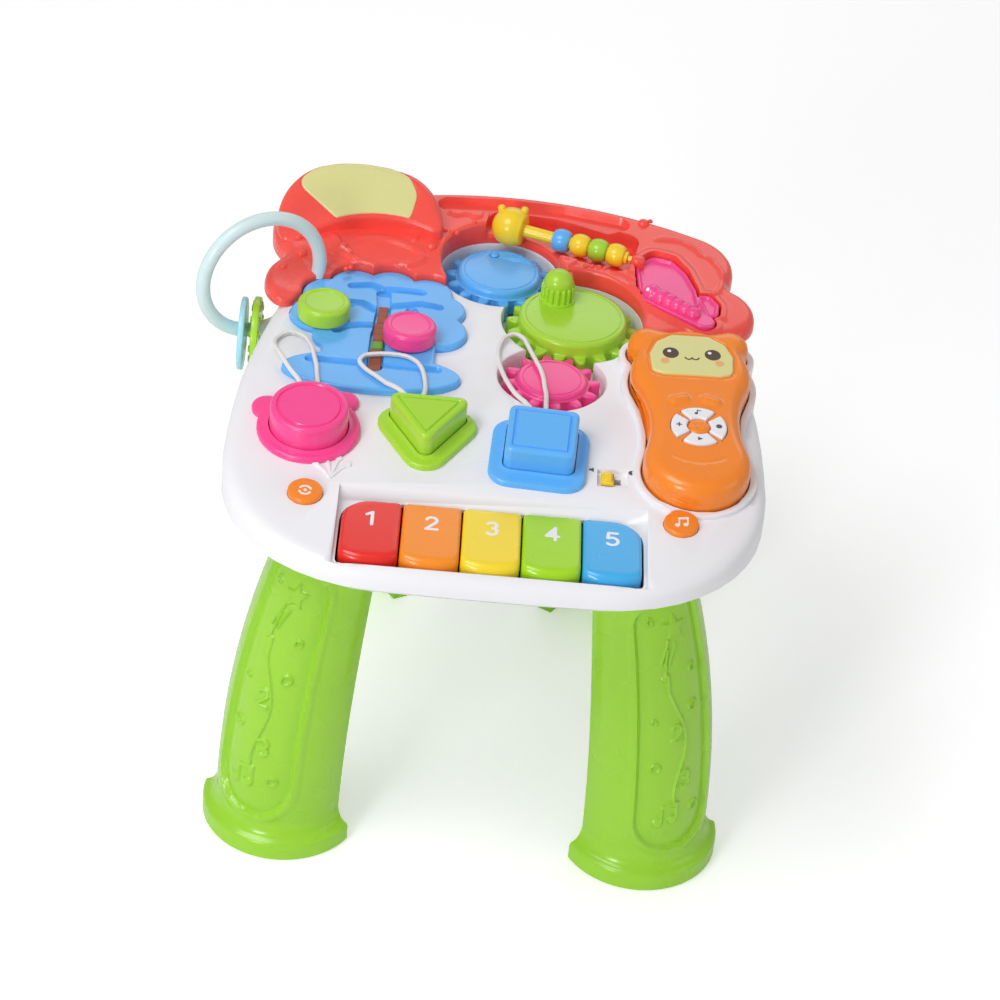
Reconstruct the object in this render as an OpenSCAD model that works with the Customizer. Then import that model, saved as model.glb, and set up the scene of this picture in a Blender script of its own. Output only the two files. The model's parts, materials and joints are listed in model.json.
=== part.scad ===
// Musical activity table: a play deck on four legs, with keys, gears, shape blocks and a handset.
// Millimetres. +X is the child's right, +Y leads to the back, +Z is up, and the floor is z = 0.

/* [Table] */
// Height of the rear play surface above the floor
deck_h = 300; // [290:1:330]
// Slope of the front play surface towards the child, in degrees
front_tilt = 6.3; // [5:0.1:7.5]
// Place of the crease between the two play surfaces
crease_y = -25; // [-28:1:-22]
// Half width of the deck at its widest
deck_half_w = 169; // [167:1:173]
// Place of the widest point
wide_y = -92; // [-95:1:-88]
// Radius of the front corners
corner_r = 102; // [98:1:106]
// Radius of the bowed front edge
front_bow_r = 2347; // [2200:1:2400]
// Radius of the bowed sides
side_bow_r = 650; // [600:1:700]
// Height of the deck's skirt below the rear play surface
skirt_drop = 32; // [31:1:34]
// Wall thickness of the deck and of the tray
wall = 3; // [2.4:0.1:4]
// Depth of the base tray under the deck
tray_depth = 18; // [17:1:24]
// How far the tray's bottom is drawn in
tray_inset = 20; // [14:1:24]

/* [Legs] */
// Distance of the front legs from the middle, at the floor
leg_x = 120; // [116:1:122]
// Distance of the rear legs from the middle, at the floor
rear_leg_x = 94; // [90:1:98]
// Place of the front legs' centre line at the floor
leg_y = -95; // [-98:1:-90]
// Place of the rear legs' centre line at the floor
rear_leg_y = 120; // [116:1:124]
// How far the leg's top stands inwards of its foot
leg_lean = 29; // [22:1:32]
// Radius of the leg's shell at the bottom
leg_r = 44.4; // [42:0.1:47]
// Radius of the leg's shell at the top
leg_top_r = 30.5; // [28:0.5:33]
// Radius of the foot flange
foot_r = 53; // [50:1:56]
// Height of the foot flange
foot_h = 12; // [10:1:16]
// Wall thickness of the leg
leg_wall = 3; // [2.4:0.1:4]
// Radius of the plug at the top of the leg
plug_r = 10; // [8:0.5:11]
// Length of the plug
plug_len = 10; // [8:1:12]

/* [Hood] */
// Height of the hood at its front edge
hood_h = 9; // [8:0.5:12]
// Rise of the hood for each millimetre towards the back
hood_rise = 0.07; // [0.04:0.01:0.09]
// Height of the dome above the rear play surface
dome_h = 45; // [40:1:48]
// Height of the bead slot's floor above the play surface
slot_floor = 6; // [5:0.5:8]

/* [Keys] */
// Pitch of the piano keys
key_pitch = 36.7; // [35:0.1:37.5]
// Gap between two keys
key_gap = 0.9; // [0.7:0.1:1.5]
// Length of a key
key_len = 53; // [48:1:54]
// Distance from the crease to the keys' rear edge
key_rear = 103; // [101:1:105]
// Thickness of a key
key_h = 11; // [9:0.5:12]
// Radius of the rod that the keys turn on
rod_r = 2; // [1.5:0.1:2.5]
// Largest turn of a key, in degrees
key_turn = 3; // [2:0.5:4]
// Radius of the round buttons
button_r = 10.8; // [9:0.1:12]
// Travel of the round buttons
button_travel = 2.5; // [1.5:0.5:3]

/* [Gears] */
// Tooth size of the gears, as pitch diameter over teeth
gear_module = 4.7; // [4.4:0.1:4.8]
// Teeth of the large green gear
green_teeth = 17; // [16:1:17]
// Teeth of the blue gear
blue_teeth = 14; // [13:1:14]
// Teeth of the pink gear
pink_teeth = 12; // [11:1:12]
// Radius of the posts that the gears turn on
post_r = 4; // [3:0.5:6]
// Thickness of the toothed rim
rim_h = 12; // [10:0.5:13]
// Depth of the gear wells
well_depth = 16; // [15:0.5:18]
// Free height of the gears over the well floor
gear_lift = 1; // [0.5:0.1:2]
// Height of the winding knob
knob_h = 22; // [18:1:26]

/* [Blocks] */
// Height of the shape blocks above the front play surface
block_top = 20; // [16:1:24]
// Height of the sockets' rims
socket_h = 4.5; // [3.5:0.5:6]
// Thickness of the sockets' floors
socket_floor = 1; // [0.8:0.1:2]
// Free space round a block in its socket
block_gap = 0.5; // [0.4:0.1:1]
// Radius of the round block
round_r = 24.5; // [22:0.5:26]
// Width of the square block
square_w = 44; // [40:1:46]
// Distance from the triangle block's middle to its sides
triangle_in_r = 15; // [13:0.5:16]

/* [Handset] */
// Thickness of the handset
handset_h = 23; // [20:1:26]
// Depth of the handset's cradle below its rim
cradle_depth = 5; // [4:0.5:6]
// Height of the cradle's rim over the front play surface
cradle_h = 3; // [2:0.5:5]
// Free space round the handset in its cradle
cradle_gap = 0.8; // [0.5:0.1:1.5]

/* [Ring and discs] */
// Radius of the arched ring, to the middle of its tube
ring_r = 42; // [38:1:44]
// Radius of the ring's tube
ring_tube_r = 4.7; // [4:0.1:5]
// Radius of the two discs
disc_r = 24.5; // [22:0.5:26]
// Radius of the discs' holes
disc_hole_r = 9.5; // [9:0.1:11]

/* [Tree] */
// Height of the tree panel over the play surface
tree_h = 4; // [3:0.5:6]
// Radius of the sliding knobs
slider_r = 17.3; // [15:0.1:18]
// Height of the sliding knobs
slider_h = 12; // [10:0.5:14]
// Width of the slots in the tree panel
track_w = 8; // [7:0.5:10]

/* [Fits] */
// Free space of a piece that turns or slides, on its radius
run_gap = 0.05; // [0.03:0.01:0.08]
// Free space between pieces that only pass each other
free_gap = 0.3; // [0.3:0.05:0.6]

/* [Hidden] */
$fn = 64;

// Colours
white = [0.93, 0.93, 0.95];
red = [0.93, 0.22, 0.18];
leg_green = [0.55, 0.78, 0.12];
green = [0.60, 0.82, 0.18];
pink = [0.95, 0.22, 0.55];
blue = [0.33, 0.66, 0.95];
yellow = [0.98, 0.83, 0.16];
orange = [0.98, 0.52, 0.14];
cream = [0.90, 0.87, 0.62];
brown = [0.55, 0.27, 0.18];
mint = [0.78, 0.90, 0.88];
sky = [0.62, 0.88, 0.95];
steel = [0.72, 0.73, 0.75];
dark = [0.22, 0.22, 0.24];
board_green = [0.10, 0.40, 0.22];

// Levels
skirt_z = deck_h - skirt_drop;
tray_z = skirt_z - tray_depth;
cavity_z = skirt_z + 4;
well_z = deck_h - well_depth;

// ---- Outlines made of circles that touch ----
// A circle is [x, y, radius, sign]: sign 1 bulges outwards and -1 bends inwards.
// The outward normal is shared where one circle hands over to the next.
arc_deg = 9;
arc_len = 26;
function heading(v) = atan2(v[1], v[0]);
function handover(a, b) = [b[0] - a[0], b[1] - a[1]] / (a[3] * a[2] - b[3] * b[2]);
function turn(from, to, sign) =
    let (d = to - from)
    sign > 0 ? (d < 0 ? d + 360 : d) : (d > 0 ? d - 360 : d);
function sweep(c, i) =
    let (n = len(c),
         start = heading(handover(c[(i + n - 1) % n], c[i])),
         end = heading(handover(c[i], c[(i + 1) % n])))
    [start, turn(start, end, c[i][3])];
function arc_steps(c, i) =
    let (w = abs(sweep(c, i)[1]))
    max(1, ceil(w / arc_deg), ceil(w * c[i][2] * PI / 180 / arc_len));
function outline(c, inset = 0) = [
    for (i = [0 : len(c) - 1])
        let (w = sweep(c, i), k = arc_steps(c, i), r = c[i][3] * c[i][2] - inset)
        for (j = [0 : k - 1])
            let (a = w[0] + w[1] * j / k)
            [c[i][0] + r * cos(a), c[i][1] + r * sin(a)]
];

// The circle of radius r that touches both a and b, on the side given (1 is left of a to b)
function bridge(a, b, r, sign, side) =
    let (ra = abs(a[3] * a[2] - sign * r), rb = abs(b[3] * b[2] - sign * r),
         ab = [b[0] - a[0], b[1] - a[1]], d = norm(ab), u = ab / d,
         along = (ra * ra - rb * rb + d * d) / (2 * d),
         off = side * sqrt(ra * ra - along * along))
    [a[0] + u[0] * along - u[1] * off, a[1] + u[1] * along + u[0] * off, r, sign];

function mirrored(c) = [-c[0], c[1], c[2], c[3]];

// ---- Polygons with round corners, grown by a gap ----
function edge_normal(p, i) =
    let (e = p[(i + 1) % len(p)] - p[i]) [e[1], -e[0]] / norm(e);
function rounded(p, r, grow = 0, steps = 5) = [
    for (i = [0 : len(p) - 1])
        let (n = len(p), n0 = edge_normal(p, (i + n - 1) % n), n1 = edge_normal(p, i),
             ri = is_list(r) ? r[i] : r, c = p[i] - (n0 + n1) * ri / (1 + n0 * n1),
             a0 = heading(n0), a1 = turn(a0, heading(n1), 1))
        for (j = [0 : steps])
            let (a = a0 + a1 * j / steps)
            c + (ri + grow) * [cos(a), sin(a)]
];

// ---- Lofts ----
// Rings of points, one above the other, each anticlockwise from above
function flat_ring(points, z) = [for (p = points) [p[0], p[1], z]];
function side_faces(n, m) = [
    for (k = [0 : m - 2], i = [0 : n - 1])
        let (j = (i + 1) % n)
        each [[k * n + i, (k + 1) * n + i, (k + 1) * n + j], [k * n + i, (k + 1) * n + j, k * n + j]]
];
module loft(rings) {
    n = len(rings[0]);
    m = len(rings);
    polyhedron([for (r = rings) each r], concat(
        side_faces(n, m),
        [[for (i = [0 : n - 1]) i]],
        [[for (i = [n - 1 : -1 : 0]) (m - 1) * n + i]]), convexity = 6);
}

// Everything above or below a height
module above(z) translate([-300, -300, z]) cube([600, 600, 100]);
module below(z) translate([-300, -300, z - 100]) cube([600, 600, 100]);

// A straight slot between two points
module stadium(p, q, r, z0, z1) {
    way = heading(q - p);
    translate([0, 0, z0]) linear_extrude(z1 - z0) polygon(concat(
        [for (a = [-90 : 15 : 90]) q + r * [cos(way + a), sin(way + a)]],
        [for (a = [90 : 15 : 270]) p + r * [cos(way + a), sin(way + a)]]));
}

// The frame of the sloping front surface: x, distance from the crease, height over the surface
module on_front() {
    translate([0, crease_y, deck_h]) rotate([front_tilt, 0, 0]) children();
}

// ---- Deck ----
corner_x = deck_half_w - corner_r;
front_centre_y = wide_y + sqrt(pow(front_bow_r - corner_r, 2) - corner_x * corner_x);
front_arc = [0, front_centre_y, front_bow_r, 1];
corner_arc = [corner_x, wide_y, corner_r, 1];
side_arc = [deck_half_w - side_bow_r, wide_y, side_bow_r, 1];
rear_bow_y = -102;
rear_bow_r = 290;
rear_arc = [0, rear_bow_y, rear_bow_r, 1];
rear_lobe_r = 40;
rear_lobe_x = deck_half_w - 57;
rear_lobe_y = rear_bow_y + sqrt(pow(rear_bow_r - rear_lobe_r, 2) - rear_lobe_x * rear_lobe_x);
rear_lobe = [rear_lobe_x, rear_lobe_y, rear_lobe_r, 1];
waist_r = 60;
waist_arc = bridge(side_arc, rear_lobe, waist_r, -1, -1);
deck_outline = [
    front_arc, corner_arc, side_arc, waist_arc, rear_lobe, rear_arc,
    mirrored(rear_lobe), mirrored(waist_arc), mirrored(side_arc), mirrored(corner_arc),
];
function deck_top_z(y) = deck_h - (y < crease_y ? (crease_y - y) * tan(front_tilt) : 0);

// Each pair is [inset, drop below the play surface] of one ring of the rounded edge
deck_edge = [[0, 7], [1.2, 4], [3.4, 1.8], [6.5, 0.5], [11, 0]];
module deck_body() {
    foot = flat_ring(outline(deck_outline), skirt_z - 1);
    tops = [for (e = deck_edge)
        [for (p = outline(deck_outline, e[0])) [p[0], p[1], deck_top_z(p[1]) - e[1]]]];
    rings = concat([foot], tops);
    n = len(foot);
    m = len(rings);
    front_n = arc_steps(deck_outline, 0);
    rear_n = arc_steps(deck_outline, 5);
    half = (n - front_n - rear_n) / 2;
    last = (m - 1) * n;
    polyhedron([for (r = rings) each r], concat(
        side_faces(n, m),
        [[for (i = [0 : n - 1]) i]],
        [[for (i = [front_n : -1 : 0]) last + i]],
        [for (t = [0 : half - 1])
            [last + front_n + t, last + (n - t) % n, last + n - t - 1, last + front_n + t + 1]],
        [[for (i = [front_n + half + rear_n : -1 : front_n + half]) last + i]]), convexity = 8);
}

// Handset outline, in its own frame: head up, middle at the origin
handset_side = 47;
handset_at = [deck_half_w - handset_side, -15];
handset_lean = 2.5;
head_arc = [0, 38, 38.5, 1];
ear_arc = [27, 67, 12, 1];
grip_arc = [0, -46, 33.5, 1];
handset_waist = bridge(head_arc, grip_arc, 90, -1, 1);
ear_notch = bridge(head_arc, ear_arc, 8, -1, -1);
brow_arc = bridge(ear_arc, mirrored(ear_arc), 60, -1, -1);
handset_outline = [
    grip_arc, handset_waist, head_arc, ear_notch, ear_arc, brow_arc,
    mirrored(ear_arc), mirrored(ear_notch), head_arc, mirrored(handset_waist),
];
module at_handset() {
    on_front() translate([handset_at[0], handset_at[1], 0]) rotate(handset_lean) children();
}
handset_floor = cradle_h - cradle_depth;
handset_base = handset_floor + free_gap;
handset_top = handset_base + handset_h;

module cradle_pad() {
    at_handset() translate([0, 0, -14])
        linear_extrude(cradle_h + 14) polygon(outline(handset_outline, -5));
}
module cradle_well() {
    at_handset() translate([0, 0, handset_floor])
        linear_extrude(40) polygon(outline(handset_outline, -cradle_gap));
}

// ---- Gears: involute teeth on the pitch circles ----
pressure = 25;
tooth_thinning = 0.45;
tooth_add = 0.75;
tooth_ded = 0.95;
function pitch_r(n) = gear_module * n / 2;
function involute(r, base) = sqrt(max(0, pow(r / base, 2) - 1)) * 180 / PI - acos(min(1, base / r));
function gear_points(n) =
    let (rp = pitch_r(n), base = rp * cos(pressure), tip = rp + tooth_add * gear_module,
         root = rp - tooth_ded * gear_module,
         half_pitch = 90 / n - tooth_thinning / rp * 180 / PI + involute(rp, base),
         flank = [for (k = [0 : 4]) base + (tip - base) * k / 4])
    [for (t = [0 : n - 1])
        let (mid = t * 360 / n)
        each concat(
            [[root, mid - half_pitch]],
            [for (r = flank) [r, mid - half_pitch + involute(r, base)]],
            [for (k = [4 : -1 : 0]) [flank[k], mid + half_pitch - involute(flank[k], base)]],
            [[root, mid + half_pitch]])];
module gear_plate(n, h) {
    linear_extrude(h) polygon([for (p = gear_points(n)) p[0] * [cos(p[1]), sin(p[1])]]);
}
green_at = [45, 69];
blue_way = 133.3;
pink_way = 259.6;
function gear_place(teeth, way) = green_at
    + (pitch_r(green_teeth) + pitch_r(teeth)) * [cos(way), sin(way)];
blue_at = gear_place(blue_teeth, blue_way);
pink_at = gear_place(pink_teeth, pink_way);
green_turn = 4;
// A tooth of the green gear meets a gap of the other one on the line between their middles
function mesh_turn(teeth, way) =
    let (pitch = 360 / green_teeth, off = (green_turn - way) / pitch)
    way + 180 + (0.5 - off) * 360 / teeth;
well_gap = 3.5;
function well_r(n) = pitch_r(n) + tooth_add * gear_module + well_gap;

module gear_wells() {
    for (g = [[green_at, green_teeth], [blue_at, blue_teeth], [pink_at, pink_teeth]])
        translate([g[0][0], g[0][1], well_z]) cylinder(r = well_r(g[1]), h = 40);
}
post_top = well_z + gear_lift + rim_h + 1;
module gear_posts() {
    for (p = [green_at, blue_at, pink_at])
        translate([p[0], p[1], well_z - 1]) {
            cylinder(r = post_r, h = post_top - well_z + 1);
            cylinder(r = post_r + 4, h = 1 + gear_lift - free_gap);
        }
}
module gear(at, teeth, spin, plate_r, plate_h) {
    translate([at[0], at[1], well_z + gear_lift]) difference() {
        rotate(spin) union() {
            gear_plate(teeth, rim_h);
            cylinder(r = plate_r, h = rim_h + plate_h - 1.5);
            translate([0, 0, rim_h + plate_h - 1.5]) cylinder(r1 = plate_r, r2 = plate_r - 1.5, h = 1.5);
        }
        translate([0, 0, -1]) cylinder(r = post_r + run_gap, h = rim_h + 2.5);
    }
}
plate_step = 4.2;
module gear_green() color(green) difference() {
    gear(green_at, green_teeth, green_turn, pitch_r(green_teeth) - plate_step, 9);
    translate([knob_place[0], knob_place[1], knob_z - 2]) cylinder(r = knob_r - 3, h = 10);
}
module gear_blue() color(blue) difference() {
    gear(blue_at, blue_teeth, mesh_turn(blue_teeth, blue_way), pitch_r(blue_teeth) - plate_step - 0.7, 6);
    translate([blue_at[0] - 4, blue_at[1] + 19, well_z + gear_lift + rim_h + 6.5]) sphere(3);
}
module gear_pink() color(pink)
    gear(pink_at, pink_teeth, mesh_turn(pink_teeth, pink_way), pitch_r(pink_teeth) - plate_step - 1, 3);
knob_r = 12;
knob_place = green_at + [-11, 19];
knob_z = well_z + gear_lift + rim_h + 9;
module gear_knob() color(green) translate([knob_place[0], knob_place[1], knob_z]) {
    translate([0, 0, -1.9]) cylinder(r = knob_r - 3 - run_gap, h = 2);
    rotate_extrude() polygon([
        [0, 0], [knob_r, 0], [knob_r, 7], [knob_r - 1, 9], [knob_r - 4, 10],
        for (a = [0 : 15 : 90]) [(knob_r - 4) * cos(a), knob_h - 5 + 5 * sin(a)]]);
    for (a = [0 : 45 : 315])
        rotate(a) translate([knob_r - 4.2, 0, 8]) cylinder(r = 1.8, h = knob_h - 14);
}

// ---- Keys, in the frame of the front surface ----
key_axis = [-84, -14];
key_low = -key_h - 1;
key_rise = 5;
function key_top(v) = -3 + (-key_rear - v) * key_rise / key_len;
window_half = 2.5 * key_pitch + 1;
key_front = -key_rear - key_len;
pocket_len = 46;
module key_window() {
    on_front() {
        translate([0, 0, -45]) linear_extrude(60) polygon(rounded(
            [[-window_half, key_front - 7], [window_half, key_front - 7],
             [window_half, 1 - key_rear], [-window_half, 1 - key_rear]], [5, 5, 18, 18]));
        translate([-window_half - 2, 0, 0]) rotate([90, 0, 90])
            linear_extrude(2 * window_half + 4) polygon([
                [-key_rear + 10, 0.5], [-key_rear + 10, 4], [key_front - 9, 12], [key_front - 9, 2],
                [key_front - 6, -2], [-key_rear - 12, -6], [-key_rear + 1, -6]]);
        translate([-window_half, -key_rear - 4, -40]) cube([2 * window_half, pocket_len, 31.5]);
    }
}
rod_over = 6;
module key_rod_bar(grow = 0) {
    on_front() translate([-window_half - rod_over, key_axis[0], key_axis[1]]) rotate([0, 90, 0])
        cylinder(r = rod_r + grow, h = 2 * (window_half + rod_over));
}
module key(i, tint) {
    x0 = (i - 2.5) * key_pitch + key_gap / 2;
    x1 = x0 + key_pitch - key_gap;
    mid = (x0 + x1) / 2;
    shape = [[x0, key_front], [mid - 8, key_front - 4.5], [mid + 8, key_front - 4.5],
        [x1, key_front], [x1, -key_rear], [x0, -key_rear]];
    round = [5, 24, 24, 5, i == 4 ? 18 : 3, i == 0 ? 18 : 3];
    color(tint) on_front() difference() {
        union() {
            loft(concat([flat_ring(rounded(shape, round), key_low)],
                [for (e = [[0, 4.5], [0.8, 1.8], [1.7, 0.6], [2.9, 0]])
                    [for (p = rounded(shape, round, -e[0])) [p[0], p[1], key_top(p[1]) - e[1]]]]));
            translate([mid - 11, -key_rear - 2, key_low]) cube([22, key_rear + key_axis[0] + 2, 3]);
            translate([mid - 11, key_axis[0], key_axis[1]]) rotate([0, 90, 0]) cylinder(r = 4.2, h = 22);
        }
        translate([x0 - 1, key_axis[0], key_axis[1]]) rotate([0, 90, 0])
            cylinder(r = rod_r + run_gap, h = key_pitch + 2);
    }
}
module key_rod() color(steel) key_rod_bar();

// ---- Round buttons ----
button_side = 54;
button_at = [deck_half_w - button_side, -105.5];
button_out = 3;
flange_w = 2.6;
flange_h = 2.5;
plate_t = 6;
module button_bores() {
    on_front() for (s = [-1, 1]) translate([s * button_at[0], button_at[1], 0]) {
        translate([0, 0, -30]) cylinder(r = button_r + free_gap, h = 40);
        translate([0, 0, -40]) cylinder(r = button_r + flange_w + 1, h = 40 - plate_t);
    }
}
module button(side) color(orange) on_front() translate([side * button_at[0], button_at[1], 0]) {
    translate([0, 0, -plate_t - free_gap - flange_h]) cylinder(r = button_r + flange_w, h = flange_h);
    translate([0, 0, -plate_t - 1]) cylinder(r = button_r, h = plate_t + 1 + button_out - 1.2);
    translate([0, 0, button_out - 1.2]) cylinder(r1 = button_r, r2 = button_r - 1.4, h = 1.2);
}

// ---- Slide switch ----
switch_at = [72.5, -68];
switch_travel = 6;
module switch_well() {
    on_front() translate([switch_at[0], switch_at[1], 0]) {
        translate([-9.5, -8, -3]) cube([19, 16, 20]);
        translate([-switch_travel / 2 - 2.6, -2.6, -9]) cube([switch_travel + 5.2, 5.2, 10]);
    }
}
module slide_switch() color(yellow) on_front()
    translate([switch_at[0] - switch_travel / 2, switch_at[1], 0]) {
        translate([-2.2, -2.2, -8.6]) cube([4.4, 4.4, 7]);
        translate([-4, -5, -3 + free_gap]) cube([8, 10, 2.5]);
        translate([-2.5, -4, -1]) cube([5, 8, 3]);
    }

// ---- Tree panel with its slots ----
crown = [[-120, 50, 20], [-116, 74, 18], [-100, 88, 17], [-76, 90, 17], [-52, 84, 17], [-43, 66, 17],
    [-44, 40, 20], [-82, 52, 34]];
ground = [-83, -13.5, 57, 21.5];
module tree_outline(grow = 0) {
    for (c = crown) translate([c[0], c[1]]) circle(r = c[2] + grow);
    translate([-100 - grow, -10]) square([50 + 2 * grow, 60]);
    polygon([for (a = [0 : 10 : 350])
        [ground[0] + (ground[2] + grow) * cos(a), ground[1] + (ground[3] + grow) * sin(a)]]);
}
green_track = [[-118, 45], [-101, 64]];
pink_track = [[-61, 26], [-61, 60]];
trunk = [-81, 8, -18, 66];
panel_seat = 1.5;
foot_depth = 7;
tree_grooves = [[[-104, 84], [-55, 82]], [[-109, 27], [-92, 38]], [[-80, 83], [-81, 72]],
    [[-123, -9], [-41, -11]]];
groove_r = 2.5;
groove_depth = 2;
module tree_tracks(widen, z0, z1) {
    stadium(green_track[0], green_track[1], widen, z0, z1);
    stadium(pink_track[0], pink_track[1], widen, z0, z1);
}
module tree_panel() color(blue) difference() {
    translate([0, 0, deck_h - panel_seat]) linear_extrude(tree_h + panel_seat) tree_outline();
    tree_tracks(track_w / 2, deck_h - 5, deck_h + 20);
    translate([0, 0, deck_h]) trunk_block(0.1, tree_h + 1);
    for (g = tree_grooves)
        stadium(g[0], g[1], groove_r, deck_h + tree_h - groove_depth, deck_h + tree_h + 1);
    ring_tube(0.05);
}
module trunk_block(grow, h) {
    translate([trunk[0] - trunk[1] / 2 - grow, trunk[2] - grow, 0])
        cube([trunk[1] + 2 * grow, trunk[3] - trunk[2] + 2 * grow, h]);
}
module trunk_inlay() color(brown) translate([0, 0, deck_h]) difference() {
    trunk_block(0, tree_h - 1);
    for (y = [-8 : 6 : 60]) translate([trunk[0], y, tree_h - 1]) rotate([90, 0, 90])
        cylinder(r = 0.6, h = 4, center = true);
}
module slider(at, tint) color(tint) translate([at[0], at[1], deck_h]) {
    translate([0, 0, tree_h + free_gap]) rotate_extrude() polygon([
        [0, 0], [slider_r - 1, 0], [slider_r, 1], [slider_r, slider_h - 3],
        [slider_r - 0.8, slider_h - 1], [slider_r - 2.6, slider_h], [slider_r - 5, slider_h],
        [slider_r - 5.6, slider_h - 0.6], [0, slider_h - 0.6]]);
    translate([0, 0, -foot_depth + 1]) cylinder(r = track_w / 2 - free_gap, h = foot_depth + tree_h);
    translate([0, 0, -foot_depth + free_gap]) cylinder(r = track_w / 2 + 3, h = 2.5);
}
module tree_knob_green() slider(green_track[0], green);
module tree_knob_pink() slider(pink_track[0], pink);

// ---- Sockets and shape blocks ----
round_at = [-118, -47];
triangle_at = [-44.5, -41];
square_at = [27, -51];
function triangle_points() = [for (a = [-90, 30, 150]) 2 * triangle_in_r * [1.08 * cos(a), sin(a)]];
function square_points(w) = [[-w / 2, -w / 2], [w / 2, -w / 2], [w / 2, w / 2], [-w / 2, w / 2]];
module socket_body(tint, at, spin = 0) {
    color(tint) on_front() translate([at[0], at[1], 0.01]) rotate(spin) children();
}
module socket_round() socket_body(pink, round_at) difference() {
    union() {
        cylinder(r = round_r + 8, h = socket_h - 1);
        translate([0, 0, socket_h - 1]) cylinder(r1 = round_r + 8, r2 = round_r + 7, h = 1);
        translate([-28, 16, 0]) cylinder(r = 9, h = socket_h);
        translate([20, 28, 0]) cylinder(r = 8, h = socket_h);
    }
    translate([0, 0, socket_floor]) cylinder(r = round_r + block_gap, h = socket_h);
}
module rimmed_plate(points, r, grow) {
    loft([for (e = [[0, 0], [0, socket_h - 1.4], [0.5, socket_h - 0.4], [1.5, socket_h]])
        flat_ring(rounded(points, r, grow - e[0]), e[1])]);
}
module socket_triangle() socket_body(green, triangle_at) difference() {
    translate([0, -3, 0]) rimmed_plate(triangle_points(), 6, 8);
    translate([0, 0, socket_floor]) linear_extrude(socket_h)
        polygon(rounded(triangle_points(), 5, block_gap));
}
module socket_square() socket_body(blue, square_at, -3) difference() {
    translate([-0.5, -4, 0]) rimmed_plate(square_points(square_w), 5, 8.5);
    translate([0, 0, socket_floor]) linear_extrude(socket_h)
        polygon(rounded(square_points(square_w), 5, block_gap));
}
block_low = socket_floor + free_gap;
module block_body(points, r) {
    loft([for (e = [[0.6, 0], [0, 0.6], [0.3, block_top - 3], [1.2, block_top - 0.9], [3, block_top],
            [4.2, block_top], [4.6, block_top - 0.8]])
        flat_ring(rounded(points, r, -e[0]), max(block_low, e[1] + (e[1] < 1 ? block_low : 0)))]);
}
module block_round() color(pink) on_front() translate([round_at[0], round_at[1], 0])
    rotate_extrude() polygon([
        [0, block_low], [round_r - 0.6, block_low], [round_r, block_low + 0.6],
        [round_r - 0.3, block_top - 3], [round_r - 1, block_top - 1], [round_r - 2.8, block_top],
        [round_r - 4.4, block_top], [round_r - 5, block_top - 0.8], [0, block_top - 0.8]]);
module block_triangle() color(green) on_front() translate([triangle_at[0], triangle_at[1], 0])
    block_body(triangle_points(), 5);
module block_square() color(blue) on_front() translate([square_at[0], square_at[1], 0]) rotate(-3)
    block_body(square_points(square_w), 5);

// ---- Carrying cords of the blocks ----
cord_d = 3;
round_cord = [
    [-123, -52, 307], [-124, -46, 307], [-126, -40, 307], [-129, -33, 307], [-133, -25, 306],
    [-137, -17, 306], [-141, -8, 306], [-145, 1, 305], [-147, 10, 303], [-145, 19, 302], [-139, 25, 302],
    [-132, 24, 302], [-127, 18, 303], [-124, 10, 304], [-122, 2, 306], [-120, -7, 306],
    [-118, -16, 306], [-117, -25, 306], [-116, -34, 307], [-115, -40, 307], [-115, -46, 307],
    [-115, -52, 307],
];
triangle_cord = [
    [-57, -55, 307], [-58, -49, 307], [-60, -42, 307], [-66, -35, 307], [-73, -29, 306], [-80, -22, 306],
    [-87, -15, 306], [-91, -7, 306], [-88, 0, 306], [-80, 3, 306], [-71, 4, 306], [-62, 3, 306],
    [-55, -2, 306], [-51, -10, 306], [-49, -19, 306], [-48, -28, 306], [-48, -37, 307],
    [-49, -43, 307], [-49, -49, 307], [-49, -55, 307],
];
square_cord = [
    [23, -58, 307], [22, -52, 307], [20, -45, 306], [16, -36, 305], [11, -28, 304],
    [7, -19, 303], [3, -9, 303], [0, 1, 303], [-2, 11, 303], [-3, 21, 303], [-2, 31, 303],
    [1, 40, 303], [7, 45, 303], [13, 41, 303], [16, 33, 303], [19, 24, 303], [22, 15, 303], [25, 6, 303], [27, -4, 303],
    [28, -14, 303], [29, -24, 304], [29, -34, 305], [29, -44, 306], [29, -52, 307],
    [29, -58, 307],
];
function way_at(p, i) =
    let (d = p[min(i + 1, len(p) - 1)] - p[max(i - 1, 0)]) d / norm(d);
function tube_rings(p, r) = [
    for (i = [0 : len(p) - 1])
        let (t = way_at(p, i), s0 = cross(t, [0, 0, 1]), s = s0 / norm(s0), u = cross(s, t))
        [for (a = [0 : 45 : 315]) p[i] + r * (cos(a) * s - sin(a) * u)]
];
module cord_round() color("white") loft(tube_rings(round_cord, cord_d / 2));
module cord_triangle() color("white") loft(tube_rings(triangle_cord, cord_d / 2));
module cord_square() color("white") loft(tube_rings(square_cord, cord_d / 2));

// ---- Hood ----
low_lobe_r = [136, 84, 30, 1];
hood_overhang = 10;
hood_bow_r = rear_bow_r + hood_overhang;
rear_bow = [0, rear_bow_y, hood_bow_r, 1];
hood_lobe_r = 37;
hood_lobe_way = 63.9;
rear_lobe_h = [(hood_bow_r - hood_lobe_r) * cos(hood_lobe_way),
    rear_bow_y + (hood_bow_r - hood_lobe_r) * sin(hood_lobe_way), hood_lobe_r, 1];
dome_lobe = [-108, 143, 52, 1];
low_lobe_l = [-128, 82, 32, 1];
crown_bay = [-82, 42, 60, -1];
blue_bay = [blue_at[0], blue_at[1], well_r(blue_teeth), -1];
green_bay = [green_at[0], green_at[1], well_r(green_teeth), -1];
bay_end_r = 8;
bay_end_way = -8;
bay_end_mid = green_at + (green_bay[2] + bay_end_r) * [cos(bay_end_way), sin(bay_end_way)];
bay_end = [bay_end_mid[0], bay_end_mid[1], bay_end_r, 1];
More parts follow.
